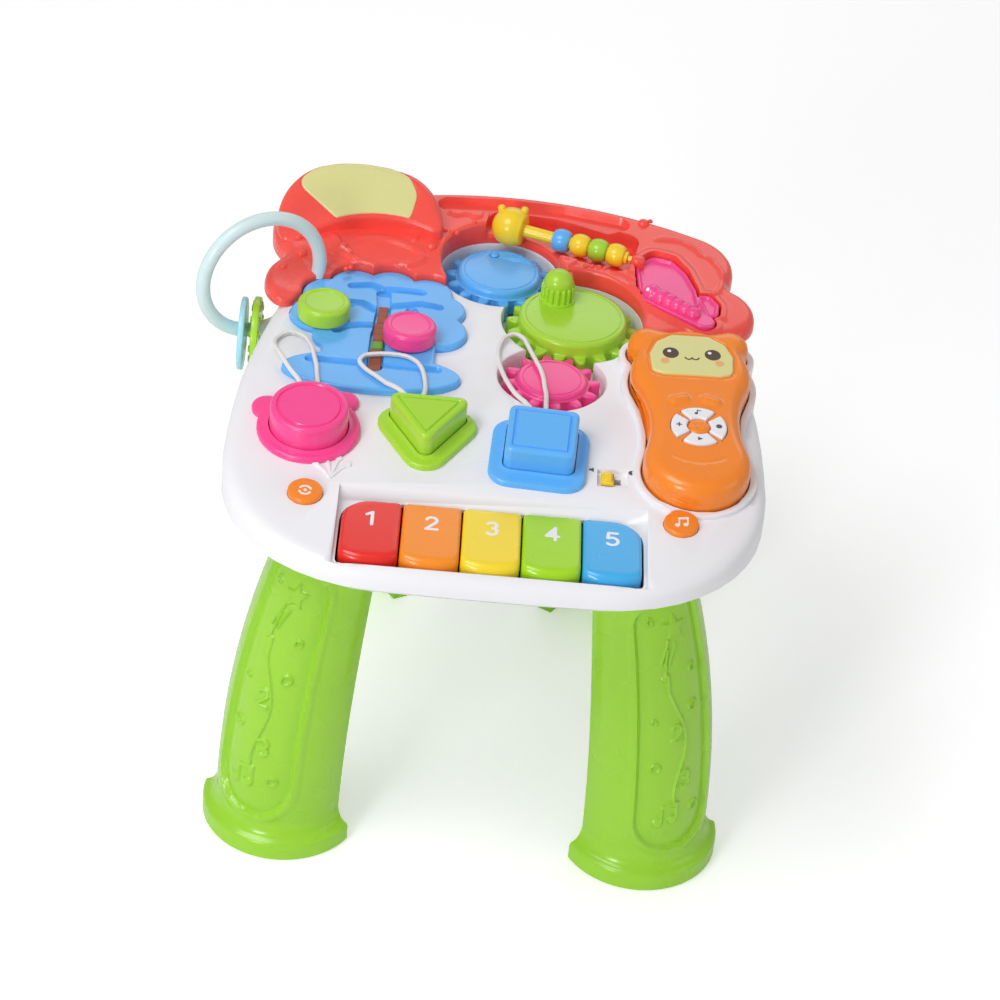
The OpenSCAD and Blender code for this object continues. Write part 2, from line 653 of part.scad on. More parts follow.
hood_outline = [
    low_lobe_r, bridge(low_lobe_r, rear_lobe_h, 8, -1, -1), rear_lobe_h, rear_bow,
    bridge(rear_bow, dome_lobe, 12, -1, -1), dome_lobe, bridge(dome_lobe, low_lobe_l, 8, -1, -1),
    low_lobe_l, bridge(low_lobe_l, crown_bay, 8, 1, -1), crown_bay,
    bridge(crown_bay, blue_bay, 8, 1, 1), blue_bay, bridge(blue_bay, green_bay, 8, 1, 1),
    green_bay, bay_end, bridge(bay_end, low_lobe_r, 900, 1, 1),
];
function hood_z(y) = deck_h + hood_h + (y - 60) * hood_rise;
// The frame of the hood's sloping top: x, y, height over the surface
module on_hood() {
    translate([0, 60, deck_h + hood_h]) rotate([atan(hood_rise), 0, 0]) translate([0, -60, 0]) children();
}
hood_reach = 30;
module hood_body() difference() {
    on_hood() translate([0, 0, -hood_reach]) linear_extrude(hood_reach) polygon(outline(hood_outline));
    translate([-250, -50, deck_h - 2 * hood_reach]) cube([500, 300, 2 * hood_reach]);
}
dome_left = [-118, 142, 40, 1];
dome_right = [-86, 144, 37, 1];
dome_back = bridge(dome_left, dome_right, 120, 1, -1);
dome_bite = [-86, 57, 85, -1];
tip_r = 6;
dome_outline = [
    dome_right, dome_back, dome_left, bridge(dome_left, dome_bite, tip_r, 1, -1),
    dome_bite, bridge(dome_bite, dome_right, tip_r, 1, -1),
];
// The dome's top is a plane that rises backwards from this line in the hood's surface
dome_toe_y = 119;
dome_back_y = 181;
dome_rise = deck_h + dome_h - hood_z(dome_back_y);
dome_slope = atan(dome_rise / (dome_back_y - dome_toe_y));
// Each pair is [inset, height] of one ring of the dome's walls
dome_rings = [[0, 0], [0.5, 14], [1.2, 20], [2.4, 25], [4, 28], [6.5, 30.5], [8, 31.5]];
// The screen lies in the sloping plane: x, and distance up the slope from the toe line
screen_points = [[-114, 26], [-73, 28.5], [-66, 44], [-72, 59], [-92, 63.5], [-118, 63], [-141, 50]];
screen_r = 5;
screen_depth = 4;
// Each pair is [inset, height over the plane] of one ring of the screen
screen_rings = [[0, -screen_depth], [0, 0], [0.8, 0.5], [4, 0.9]];
rod_from = [12, 156];
rod_to = [84, 131.5];
rod_z = deck_h + 15;
bead_rod_r = 4.2;
rod_tip_r = 2;
rod_step = 72.5;
rod_over_end = 5.1;
rod_mount_r = 6;
rod_way = heading(rod_to - rod_from);
slot_z = deck_h + slot_floor;
slot_points = [[-17, 148], [76, 118], [82, 126], [88, 158], [34, 178], [-12, 182]];
big_wing = [[88, 98], [130, 78], [127, 104], [121, 124], [112, 139], [98, 143], [86, 130]];
small_wing = [[126, 98], [133, 71], [141, 76], [142, 88], [136, 99]];
insect_body = [[97, 92], [131, 67]];
insect_floor = deck_h + 3;
press_travel = 2.5;
insect_low = insect_floor + press_travel + free_gap;
insect_top = deck_h + hood_h + 4;
module butterfly_plan(grow, z0, z1) {
    translate([0, 0, z0]) linear_extrude(z1 - z0) {
        polygon(rounded(big_wing, 6, grow));
        polygon(rounded(small_wing, 4, grow));
    }
    stadium(insect_body[0], insect_body[1], 7.5 + grow, z0, z1);
}
ring_side = 7.5;
ring_centre = [ring_side - deck_half_w, 73.6, deck_h + 13.4];
ring_way = 30;
module ring_tube(grow = 0) {
    translate(ring_centre) rotate([0, 0, ring_way]) rotate([90, 0, 0]) rotate([0, 0, -14])
        rotate_extrude(angle = 304) translate([ring_r, 0]) circle(r = ring_tube_r + grow);
}
module along_rod() translate([rod_from[0], rod_from[1], rod_z]) rotate([0, 90, rod_way]) children();
module rear_hood() color(red) {
    difference() {
        union() {
            hood_body();
            translate([rod_to[0] + 3, rod_to[1] - 1, deck_h + 1])
                cylinder(r = rod_mount_r, h = rod_z - deck_h + 4);
        }
        translate([0, 0, deck_h - 1]) linear_extrude(60) tree_outline(1.5);
        translate([0, 0, slot_z]) linear_extrude(60) polygon(rounded(slot_points, 8));
        butterfly_plan(0.6, insect_floor, deck_h + 60);
        ring_tube(0.05);
        along_rod() cylinder(r = rod_tip_r + run_gap, h = norm(rod_to - rod_from) + rod_over_end + 0.9);
    }
}
module on_slope() on_hood() translate([0, dome_toe_y, 0]) rotate([dome_slope, 0, 0]) children();
module dome_cover() color(red) difference() {
    on_hood() loft([for (e = dome_rings) flat_ring(outline(dome_outline, e[0]), e[1])]);
    on_slope() above(0);
    on_slope() translate([0, 0, -screen_depth]) linear_extrude(20) polygon(rounded(screen_points, screen_r, 0.1));
}
module hood_screen() color(cream) on_slope()
    loft([for (e = screen_rings) flat_ring(rounded(screen_points, screen_r, -e[0]), e[1])]);

// ---- Worm with its row of beads ----
head_at = [1, 160];
head_r = 13.5;
bead_r = 8;
bead_l = 12;
bead_places = [25, 38.5, 51.5, 64.2];
bead_tints = [blue, yellow, green, yellow];
module worm_head() color(yellow) difference() {
    union() {
        translate([head_at[0], head_at[1], rod_z]) sphere(r = head_r);
        for (s = [-5, 5])
            translate([head_at[0] + s, head_at[1] + 3, rod_z + 11]) sphere(r = 3);
    }
    translate([head_at[0] - 30, head_at[1] - 30, slot_z - 20]) cube([60, 60, 20.01]);
    along_rod() translate([0, 0, -rod_in_head - 0.1]) cylinder(r = bead_rod_r + 0.02, h = 20);
}
rod_in_head = 7.9;
module worm_rod() color(yellow) along_rod() translate([0, 0, -rod_in_head]) {
    cylinder(r = bead_rod_r, h = rod_in_head + rod_step);
    cylinder(r = rod_tip_r, h = norm(rod_to - rod_from) + rod_in_head + rod_over_end);
}
bead_end_r = 5.6;
bead_arc = 45;
module bead(i) color(bead_tints[i]) along_rod() translate([0, 0, bead_places[i]]) difference() {
    rotate_extrude() polygon([
        [0, -bead_l / 2], [bead_end_r, -bead_l / 2],
        for (a = [-bead_arc : 15 : bead_arc])
            [2 + (bead_r - 2) * cos(a), (bead_l / 2 - 0.4) * sin(a) / sin(bead_arc)],
        [bead_end_r, bead_l / 2], [0, bead_l / 2]]);
    cylinder(r = bead_rod_r + run_gap, h = 2 * bead_l, center = true);
}
module butterfly() color(pink) {
    butterfly_plan(0, insect_low, insect_top);
    stadium(insect_body[0], insect_body[1], 6.5, insect_low, insect_top + 3);
    translate([insect_body[0][0], insect_body[0][1], insect_top]) sphere(r = 7.4);
}

// ---- Handset ----
split_h = 10;
screen_shape = [[-20, 27], [20, 27], [26.5, 42], [24, 58], [14, 65], [-14, 65], [-24, 58], [-26.5, 42]];
pad_at = [1, -22];
pad_in = 7.5;
pad_out = 17.5;
pad_span = 76;
pad_travel = 1.2;
pad_proud = 1.5;
module handset_ring(edges) {
    loft([for (e = edges) flat_ring(outline(handset_outline, e[0]), e[1])]);
}
module arc_pad(way, grow, z0, z1) {
    translate([pad_at[0], pad_at[1], z0]) rotate(way - pad_span / 2 - 2 * grow)
        rotate_extrude(angle = pad_span + 4 * grow)
            translate([pad_in - grow, 0]) square([pad_out - pad_in + 2 * grow, z1 - z0]);
}
pad_ways = [90, 180, 0, 270];
pad_floor = handset_top - 4.5;
module handset_back() color(orange) at_handset()
    handset_ring([[3, handset_base], [1, handset_base + 0.8], [0.2, handset_base + 2.4],
        [0, handset_base + split_h - 0.2]]);
module handset_front() color(orange) at_handset() difference() {
    union() {
        difference() {
            handset_ring([[0, handset_base + split_h - 0.2], [0, handset_top - 7], [0.8, handset_top - 4],
                [2.6, handset_top - 1.8], [5.5, handset_top - 0.5], [10.5, handset_top + 0.2]]);
            above(handset_top);
        }
        for (x = [-10, 10]) translate([x, 3, handset_top - 4]) sphere(r = 6.5);
    }
    translate([0, 0, handset_top - 2.5]) linear_extrude(10) polygon(rounded(screen_shape, 7, 0.1));
    for (way = pad_ways) arc_pad(way, free_gap, pad_floor, handset_top + 5);
}
module handset_screen() color(cream) at_handset()
    loft([for (e = [[0, -2.5], [0, 0.2], [1.2, 1], [4, 1.4]])
        flat_ring(rounded(screen_shape, 7, -e[0]), handset_top + e[1])]);
module handset_button(way) color(white) at_handset()
    arc_pad(way, 0, pad_floor + pad_travel + free_gap, handset_top + pad_proud);

// ---- Discs on the ring ----
module disc(off_centre, thick, drop, tint, bumps) {
    s = off_centre / cos(ring_way);
    x = ring_centre[0] + off_centre;
    y = ring_centre[1] + s * sin(ring_way);
    z = ring_centre[2] - sqrt(ring_r * ring_r - s * s) - drop;
    color(tint) translate([x, y, z]) rotate([0, 90, 0]) difference() {
        union() {
            cylinder(r = disc_r - 0.8, h = thick, center = true);
            cylinder(r = disc_r, h = thick - 1.6, center = true);
            if (bumps) for (a = [0 : 30 : 330])
                rotate(a) translate([disc_r - 5, 0, 0]) cylinder(r = 2.2, h = thick + 2, center = true);
        }
        cylinder(r = disc_hole_r, h = thick + 4, center = true);
    }
}
module disc_blue() disc(-10.5, 4, 3, sky, false);
module disc_green() disc(-2, 5, 3.5, green, true);
module arch_ring() color(mint) ring_tube();

// ---- Legs: half shells that open under the table ----
shell_from = 172;
shell_span = 158;
leg_h = tray_z;
leg_lean_y = 12;
lean_power = 2.1;
taper_power = 2.9;
panel_from = 226;
panel_to = 277;
panel_low = 34;
panel_high = 228;
panel_sink = 1.2;
shell_to = shell_from + shell_span;
shell_angles = concat([for (a = [shell_from : 13 : panel_from - 12]) a], [panel_from - 1, panel_from + 1],
    [for (a = [panel_from + 10 : 10 : panel_to - 9]) a], [panel_to - 1, panel_to + 1],
    [for (a = [panel_to + 14 : 13 : shell_to]) a]);
function lean_at(z) = pow(z / leg_h, lean_power);
function shell_r(z) = leg_r - (leg_r - leg_top_r) * pow(z / leg_h, taper_power);
// Each triple is [height, radius over the shell, 1 inside the sunk panel] of one ring of a leg
foot_rings = [[0, foot_r - leg_r - 0.8, 0], [1, foot_r - leg_r, 0], [foot_h, foot_r - leg_r, 0],
    [foot_h + 3, foot_r - leg_r - 1.5, 0], [foot_h + 7, 2.6, 0], [foot_h + 10, 0, 0]];
shaft_rings = concat([[panel_low - 1, 0, 0], [panel_low + 1, 0, 1]],
    [for (z = [panel_low + 41 : 38 : panel_high - 28]) [z, 0, 1]],
    [[panel_high - 1, 0, 1], [panel_high + 1, 0, 0], [leg_h - leg_wall - 0.2, 0, 0]]);
mid_way = shell_from + shell_span / 2;
// One ring: the outer arc, and back along the inner one, which closes to a plate at the top
function leg_ring(z, inner_z, over, sunk, closed, cx, cy) =
    let (r = shell_r(z), x = cx + leg_lean * lean_at(z), y = cy + leg_lean_y * lean_at(z),
         inner = r - leg_wall, chord = inner * cos(shell_span / 2) - 1.5)
    concat(
        [for (a = shell_angles)
            let (q = r + over - (sunk && a > panel_from && a < panel_to ? panel_sink : 0))
            [x + q * cos(a), y + q * sin(a), z]],
        [for (k = [len(shell_angles) - 1 : -1 : 0])
            let (a = shell_angles[k], q = closed ? chord / cos(a - mid_way) : inner)
            [x + q * cos(a), y + q * sin(a), inner_z]]);
plug_way = 251;
plug_off = 14;
function plug_at(cx, cy) = [cx + leg_lean, cy + leg_lean_y] + plug_off * [cos(plug_way), sin(plug_way)];
module leg_left(cx, cy) color(leg_green) {
    loft(concat(
        [for (e = concat(foot_rings, shaft_rings)) leg_ring(e[0], e[0], e[1], e[2] == 1, false, cx, cy)],
        [leg_ring(leg_h - leg_wall, leg_h - leg_wall, 0, false, true, cx, cy),
         leg_ring(leg_h, leg_h, 0, false, true, cx, cy)]));
    translate([plug_at(cx, cy)[0], plug_at(cx, cy)[1], leg_h - 1]) cylinder(r = plug_r, h = plug_len + 1);
}
module leg_front_left() leg_left(-leg_x, leg_y);
module leg_front_right() mirror([1, 0, 0]) leg_left(-leg_x, leg_y);
module leg_rear_left() mirror([0, 1, 0]) leg_left(-rear_leg_x, -rear_leg_y);
module leg_rear_right() mirror([1, 0, 0]) mirror([0, 1, 0]) leg_left(-rear_leg_x, -rear_leg_y);
front_plug = plug_at(-leg_x, leg_y);
rear_plug = plug_at(-rear_leg_x, -rear_leg_y);
plugs = [front_plug, [-front_plug[0], front_plug[1]],
    [rear_plug[0], -rear_plug[1]], [-rear_plug[0], -rear_plug[1]]];

// ---- Base tray and what it holds ----
screws = [[-138, -92], [138, -92], [-130, 20], [130, 20], [-112, 122], [112, 122], [0, 158]];
screw_r = 1.6;
boss_r = 5;
floor_z = tray_z + wall;
battery_at = [0, 73];
battery_size = [56, 48];
door_size = [70, 58];
door_t = 2.2;
cell_r = 7.1;
cell_l = 50.5;
cell_z = tray_z + door_t + cell_r + free_gap;
case_top = cell_z + cell_r + free_gap;
speaker_at = [0, -50];
speaker_r = 24;
board_z = floor_z + 9;
board_t = 1.6;
module box_at(at, size, z, h)
    translate([at[0] - size[0] / 2, at[1] - size[1] / 2, z]) cube([size[0], size[1], h]);
// Each pair is [inset, height] of one ring of the tray, outside and inside
tray_outer = [[tray_inset + 3, tray_z - 1], [tray_inset, tray_z + 1.5], [4, skirt_z - 3], [3, skirt_z + 1]];
tray_inner = [[tray_inset + wall, floor_z - 1], [3 + wall + 1, skirt_z - 3], [3 + wall, skirt_z + 2]];
board_pegs = [for (x = [-108, 108], y = [-125, -157]) [x, y]];
module tray_shell() {
    difference() {
        loft([for (e = tray_outer) flat_ring(outline(deck_outline, e[0]), e[1])]);
        above(skirt_z);
        below(tray_z);
        difference() {
            loft([for (e = tray_inner) flat_ring(outline(deck_outline, e[0]), e[1])]);
            below(floor_z);
        }
    }
    for (p = plugs) translate([p[0], p[1], tray_z]) cylinder(r = plug_r + 3, h = plug_len + wall + 1);
    for (p = screws) translate([p[0], p[1], tray_z]) cylinder(r = boss_r, h = tray_depth);
    box_at(battery_at, battery_size + [4, 4], floor_z - 1, case_top + 2.4 - floor_z + 1);
    for (p = board_pegs) translate([p[0], p[1], floor_z - 1]) cylinder(r = 3, h = board_z - floor_z + 1);
    translate([speaker_at[0], speaker_at[1], floor_z - 1]) difference() {
        cylinder(r = speaker_r + 2.3, h = 7);
        translate([0, 0, -1]) cylinder(r = speaker_r + 0.3, h = 9);
    }
}
module base_tray() color(white) difference() {
    tray_shell();
    for (p = plugs) translate([p[0], p[1], tray_z - 1])
        cylinder(r = plug_r + 0.1, h = plug_len + 1 + free_gap);
    for (p = screws) translate([p[0], p[1], tray_z - 1]) {
        cylinder(r = screw_r + 0.1, h = tray_depth + 2);
        cylinder(r = 3.6, h = 7);
    }
    box_at(battery_at, battery_size, tray_z - 1, case_top - tray_z + 1);
    box_at(battery_at, door_size + [0.6, 0.6], tray_z - 1, door_t + 1);
    for (x = [-2 : 2], y = [-2 : 2])
        if (x * x + y * y < 6)
            translate([speaker_at[0] + 7 * x, speaker_at[1] + 7 * y, tray_z - 1])
                cylinder(r = 2, h = wall + 2);
}
module battery_door() color(white) {
    box_at(battery_at, door_size, tray_z, door_t - 0.1);
    translate([battery_at[0], battery_at[1] - door_size[1] / 2 + 6, tray_z + door_t - 1])
        cylinder(r = 3, h = 0.9);
}
module battery_cells() color(steel) for (k = [-1 : 1])
    translate([battery_at[0] - cell_l / 2, battery_at[1] + k * (2 * cell_r + 0.6), cell_z])
        rotate([0, 90, 0]) {
            cylinder(r = cell_r, h = cell_l - 1.4);
            translate([0, 0, cell_l - 1.5]) cylinder(r = 2.7, h = 1.5);
        }
module circuit_board() color(board_green) difference() {
    translate([-114, -161, board_z]) cube([228, 40, board_t]);
    for (p = board_pegs) translate([p[0], p[1], board_z - 1]) cylinder(r = 1.5, h = 4);
}
key_pad_v = -130;
module contact_pads() color(dark) {
    base = board_z + board_t;
    for (i = [0 : 4]) {
        y = crease_y + key_pad_v * cos(front_tilt);
        low = deck_h + key_pad_v * sin(front_tilt) + key_low * cos(front_tilt)
            - (key_axis[0] - key_pad_v) * sin(key_turn) - 1.2;
        translate([(i - 2) * key_pitch, y, base]) cylinder(r = 4, h = low - base);
        translate([(i - 2) * key_pitch, y, base]) cylinder(r = 6, h = 2);
    }
    for (s = [-1, 1]) {
        w = -plate_t - free_gap - flange_h - button_travel;
        y = crease_y + button_at[1] * cos(front_tilt) - w * sin(front_tilt);
        low = deck_h + button_at[1] * sin(front_tilt) + w * cos(front_tilt) - 1;
        translate([s * (button_at[0] - 5), y, base]) cylinder(r = 3.5, h = low - base);
    }
}
module speaker() color(dark) translate([speaker_at[0], speaker_at[1], floor_z]) {
    cylinder(r = speaker_r, h = 3);
    translate([0, 0, 3]) cylinder(r1 = speaker_r - 2, r2 = 12, h = 5);
    translate([0, 0, 8]) cylinder(r = 12, h = 4);
}
module base_screws() color(steel) for (p = screws) translate([p[0], p[1], tray_z + 6]) difference() {
    union() {
        translate([0, 0, -2]) cylinder(r = 3.3, h = 2);
        translate([0, 0, -0.01]) cylinder(r = screw_r, h = tray_depth + 6);
    }
    translate([-2, -0.4, -2.5]) cube([4, 0.8, 1.3]);
    translate([-0.4, -2, -2.5]) cube([0.8, 4, 1.3]);
}

// ---- Deck, with everything that seats in it ----
module deck_top() color(white) {
    difference() {
        union() {
            difference() {
                deck_body();
                below(skirt_z);
            }
            cradle_pad();
        }
        translate([0, 0, skirt_z - 1]) linear_extrude(cavity_z - skirt_z + 1) difference() {
            polygon(outline(deck_outline, wall));
            for (p = screws) translate([p[0], p[1]]) circle(r = boss_r);
        }
        gear_wells();
        key_window();
        key_rod_bar(0.02);
        button_bores();
        switch_well();
        cradle_well();
        translate([0, 0, deck_h - panel_seat]) linear_extrude(20) tree_outline(0.1);
        tree_tracks(track_w / 2 + 4, deck_h - foot_depth, deck_h + 1);
        ring_tube(0.05);
        for (p = screws) translate([p[0], p[1], skirt_z - 1]) cylinder(r = screw_r + 0.02, h = 14);
    }
    gear_posts();
}

deck_top();
base_tray();
rear_hood();
dome_cover();
hood_screen();
tree_panel();
trunk_inlay();
socket_round();
socket_triangle();
socket_square();
block_round();
block_triangle();
block_square();
cord_round();
cord_triangle();
cord_square();
gear_green();
gear_blue();
gear_pink();
gear_knob();
tree_knob_green();
tree_knob_pink();
arch_ring();
disc_blue();
disc_green();
worm_head();
worm_rod();
bead(0);  // bead_1
bead(1);  // bead_2
bead(2);  // bead_3
bead(3);  // bead_4
butterfly();
slide_switch();
handset_front();
handset_back();
handset_screen();
handset_button(pad_ways[0]);  // handset_button_up
handset_button(pad_ways[1]);  // handset_button_left
handset_button(pad_ways[2]);  // handset_button_right
handset_button(pad_ways[3]);  // handset_button_down
key(0, red);  // key_1
key(1, orange);  // key_2
key(2, yellow);  // key_3
key(3, green);  // key_4
key(4, blue);  // key_5
key_rod();
contact_pads();
button(-1);  // button_left
button(1);  // button_right
leg_front_left();
leg_front_right();
leg_rear_left();
leg_rear_right();
battery_door();
battery_cells();
circuit_board();
speaker();
base_screws();
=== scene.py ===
"""Musical activity table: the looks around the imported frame."""

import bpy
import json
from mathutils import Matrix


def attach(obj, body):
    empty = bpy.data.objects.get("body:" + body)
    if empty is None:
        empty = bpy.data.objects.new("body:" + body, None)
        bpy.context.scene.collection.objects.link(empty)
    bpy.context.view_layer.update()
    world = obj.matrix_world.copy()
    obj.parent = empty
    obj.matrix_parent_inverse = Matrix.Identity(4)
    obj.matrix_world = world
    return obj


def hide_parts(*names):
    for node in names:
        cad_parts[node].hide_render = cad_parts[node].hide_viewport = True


bl_info = {
    "name": "Musical Activity Table",
    "version": (1, 0, 0),
    "blender": (4, 5, 0),
    "location": "3D View > Sidebar > Activity Table",
    "description": "Dresses the frame of a play table with mouldings, cords, reliefs and signs",
    "category": "Add Mesh",
}

import functools
import json
import math

import bmesh
import bpy
import numpy as np
from mathutils import Matrix, Vector
from mathutils.geometry import delaunay_2d_cdt
from mathutils.kdtree import KDTree

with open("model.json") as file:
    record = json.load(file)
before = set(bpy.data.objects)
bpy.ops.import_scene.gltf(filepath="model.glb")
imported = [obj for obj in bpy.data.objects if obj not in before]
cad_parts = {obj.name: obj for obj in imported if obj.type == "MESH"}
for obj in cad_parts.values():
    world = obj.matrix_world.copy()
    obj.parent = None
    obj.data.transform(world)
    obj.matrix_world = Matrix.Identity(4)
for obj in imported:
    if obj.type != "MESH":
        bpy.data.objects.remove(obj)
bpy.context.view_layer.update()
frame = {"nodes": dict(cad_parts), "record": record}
BODY_OF = {n: b for b, ns in frame["record"]["behaviour"]["bodies"].items() for n in ns}
SLOT_OF = {s["node"]: s["material_slot"] for s in frame["record"]["subparts"]}
MM = 0.001

# Levels and frames of the part, in millimetres
DECK = 300.0
CREASE = -25.0
TILT = math.radians(6.3)
HOOD_H = 9.0
HOOD_RISE = 0.07
HOOD_Y = 60.0


def on_front(x, v, w):
    """A point of the front slope: x, distance from the crease and height over the surface."""
    return (
        x,
        CREASE + v * math.cos(TILT) - w * math.sin(TILT),
        DECK + v * math.sin(TILT) + w * math.cos(TILT),
    )


def on_hood(x, y, w):
    """A point over the hood's sloping top, in millimetres."""
    a, v = math.atan(HOOD_RISE), y - HOOD_Y
    return (
        x,
        HOOD_Y + v * math.cos(a) - w * math.sin(a),
        DECK + HOOD_H + v * math.sin(a) + w * math.cos(a),
    )


# ---------------------------------------------------------------- shader expressions


class Expr:
    """A socket of a shader tree that works in arithmetic."""

    def __init__(self, shader, socket):
        self.shader = shader
        self.socket = socket

    def math(self, operation, *others):
        """One Math node on this socket and the others."""
        return self.shader.math(operation, self, *others)

    def __add__(self, other):
        return self.math("ADD", other)

    def __sub__(self, other):
        return self.math("SUBTRACT", other)

    def __rsub__(self, other):
        return self.shader.math("SUBTRACT", other, self)

    def __mul__(self, other):
        return self.math("MULTIPLY", other)

    __radd__ = __add__
    __rmul__ = __mul__

    def step(self, low, high):
        """0 below low and 1 above high, with a smooth change between them."""
        return self.shader.node(
            "ShaderNodeMapRange",
            {"Value": self, "From Min": low, "From Max": high},
            interpolation_type="SMOOTHSTEP",
        )


class Shader:
    """A material whose nodes are made by node(), from numbers, colours or other expressions."""

    def __init__(self, name):
        self.material = bpy.data.materials.new(name)
        self.material.use_nodes = True
        self.tree = self.material.node_tree
        self.tree.nodes.clear()

    def node(self, kind, inputs=None, out=0, **settings):
        """Any node: its settings, its inputs by name or number, and the output to go on with."""
        made = self.tree.nodes.new(kind)
        for key, value in settings.items():
            setattr(made, key, value)
        for key, value in (inputs or {}).items():
            if isinstance(value, Expr):
                self.tree.links.new(value.socket, made.inputs[key])
            else:
                made.inputs[key].default_value = value
        return Expr(self, made.outputs[out] if made.outputs else None)

    def math(self, operation, *values):
        """One Math node on numbers or expressions."""
        return self.node("ShaderNodeMath", dict(enumerate(values)), operation=operation)

    def noise(self, scale, detail=2.0):
        """Noise from 0 to 1 in object coordinates, at a scale in turns per metre."""
        place = self.node("ShaderNodeTexCoord", out="Object")
        return self.node(
            "ShaderNodeTexNoise", {"Vector": place, "Scale": scale, "Detail": detail}
        )

    def mix(self, factor, a, b):
        """Colour a, or b where factor is 1."""
        return self.node("ShaderNodeMix", {0: factor, 6: a, 7: b}, out=2, data_type="RGBA")

    def bump(self, height, distance):
        """A normal from a height."""
        return self.node("ShaderNodeBump", {"Height": height, "Distance": distance})

    def principled(self, inputs):
        """The surface and the material's output."""
        surface = self.node("ShaderNodeBsdfPrincipled", inputs)
        self.node("ShaderNodeOutputMaterial", {"Surface": surface})
        return self.material


def shade(rgb, factor=1.0):
    """A linear shader colour from sRGB bytes, made lighter or darker."""
    linear = [
        c / 12.92 if c <= 0.04045 else ((c + 0.055) / 1.055) ** 2.4 for c in (v / 255 for v in rgb)
    ]
    return (*(v * factor for v in linear), 1.0)


# Depth of the plastics' skin texture in metres, and the share by which their colour drifts
SKIN_DEPTH = 0.00001
COLOUR_DRIFT = 0.012
GLOSS_DRIFT = 0.05


@functools.cache
def plastic(name, rgb, roughness=0.2, coat=0.45):
    """Moulded plastic: faint colour drift, fine handling marks and a soft clear gloss."""
    s = Shader(name)
    drift = s.noise(9.0, 3.0)
    marks = s.noise(24.0)
    pale, deep = shade(rgb, 1 + COLOUR_DRIFT), shade(rgb, 1 - COLOUR_DRIFT)
    return s.principled(
        {
            "Base Color": s.mix(drift.step(0.3, 0.7), deep, pale),
            "Roughness": marks * GLOSS_DRIFT + (roughness - GLOSS_DRIFT / 2),
            "IOR": 1.46,
            "Subsurface Weight": 0.04,
            "Subsurface Radius": (0.002, 0.002, 0.002),
            "Coat Weight": coat,
            "Coat Roughness": 0.09,
            "Normal": s.bump(s.noise(60.0, 1.0), SKIN_DEPTH),
        }
    )


@functools.cache
def icon_dark():
    """The dark grey of the small signs."""
    return plastic("icon_dark", (84, 84, 92), 0.4, 0.1)


# Strands side by side round a cord, and the height of the weave in metres
STRANDS = 6.0
WEAVE_HEIGHT = 0.0003


@functools.cache
def cord_material():
    """Woven cord: slanting strands round the tube, from its own UV map, with painted shade in the
    weave's low parts.
    """
    s = Shader("woven_cord")
    uv = s.node("ShaderNodeUVMap", uv_map="UVMap")
    round_it = s.node("ShaderNodeSeparateXYZ", {0: uv}, out="X")
    along = Expr(s, round_it.socket.node.outputs["Y"])
    one = (round_it * STRANDS + along).math("FRACT")
    two = (round_it * STRANDS - along).math("FRACT")
    ridge = (one - 0.5).math("ABSOLUTE").math("MINIMUM", (two - 0.5).math("ABSOLUTE")) * 2.0
    fibre = s.noise(2500.0, 3.0)
    height = ridge * 0.8 + fibre * 0.2
    return s.principled(
        {
            # Lighter on the weave's raised parts and darker in its low parts: painted shade, with a
            # little random fibre tone mixed in
            "Base Color": s.mix(height, shade((232, 228, 226)), shade((255, 254, 253))),
            "Roughness": fibre * 0.15 + 0.72,
            "Sheen Weight": 0.3,
            "Sheen Roughness": 0.5,
            "Normal": s.bump(height, WEAVE_HEIGHT),
        }
    )


@functools.cache
def metal_material():
    """Plain steel with fine drawing marks."""
    s = Shader("plain_steel")
    marks = s.noise(300.0, 4.0)
    return s.principled(
        {
            "Base Color": s.mix(marks, shade((178, 180, 184), 0.9), shade((190, 192, 196), 1.05)),
            "Metallic": 1.0,
            "Roughness": marks * 0.15 + 0.28,
            "Normal": s.bump(marks, 0.00003),
        }
    )


# Each slot's colour in sRGB bytes, its roughness and its clear gloss
PLASTICS = {
    "white_shell": ((243, 242, 246), 0.34, 0.15),
    "brown": ((159, 85, 62), 0.5, 0.05),
    "rubber": ((52, 52, 56), 0.7, 0.0),
    "board": ((30, 110, 60), 0.5, 0.1),
    "mint_ring": ((216, 238, 238), 0.3, 0.3),
}
GLOSSY = {
    "red_shell": (255, 84, 73),
    "leg_green": (158, 216, 48),
    "part_green": (172, 222, 56),
    "pink": (255, 74, 152),
    "blue": (98, 184, 255),
    "yellow": (254, 216, 44),
    "orange": (255, 140, 34),
    "cream_screen": (226, 222, 150),
    "sky_disc": (170, 230, 244),
    "key_red": (238, 40, 30),
    "key_orange": (255, 148, 30),
    "key_yellow": (252, 222, 44),
    "key_lime": (168, 222, 26),
    "key_blue": (66, 178, 240),
}
PLASTICS |= {slot: (rgb, 0.27, 0.3) for slot, rgb in GLOSSY.items()}


def slot_material(slot):
    """The material of one slot of the record."""
    if slot == "steel":
        return metal_material()
    if slot == "cord":
        return cord_material()
    return plastic(slot, *PLASTICS[slot])


# ---------------------------------------------------------------- meshes


def to_object(name, mesh):
    """A linked object at the origin with this mesh."""
    obj = bpy.data.objects.new(name, mesh)
    bpy.context.scene.collection.objects.link(obj)
    return obj


def mesh_object(name, verts, faces):
    """A mesh object from vertices in millimetres, its faces turned outwards."""
    mesh = bpy.data.meshes.new(name)
    mesh.from_pydata([tuple(c * MM for c in v) for v in verts], [], [tuple(f) for f in faces])
    bm = bmesh.new()
    bm.from_mesh(mesh)
    bmesh.ops.remove_doubles(bm, verts=bm.verts, dist=1e-6)
    bmesh.ops.recalc_face_normals(bm, faces=bm.faces)
    bm.to_mesh(mesh)
    bm.free()
    return to_object(name, mesh)


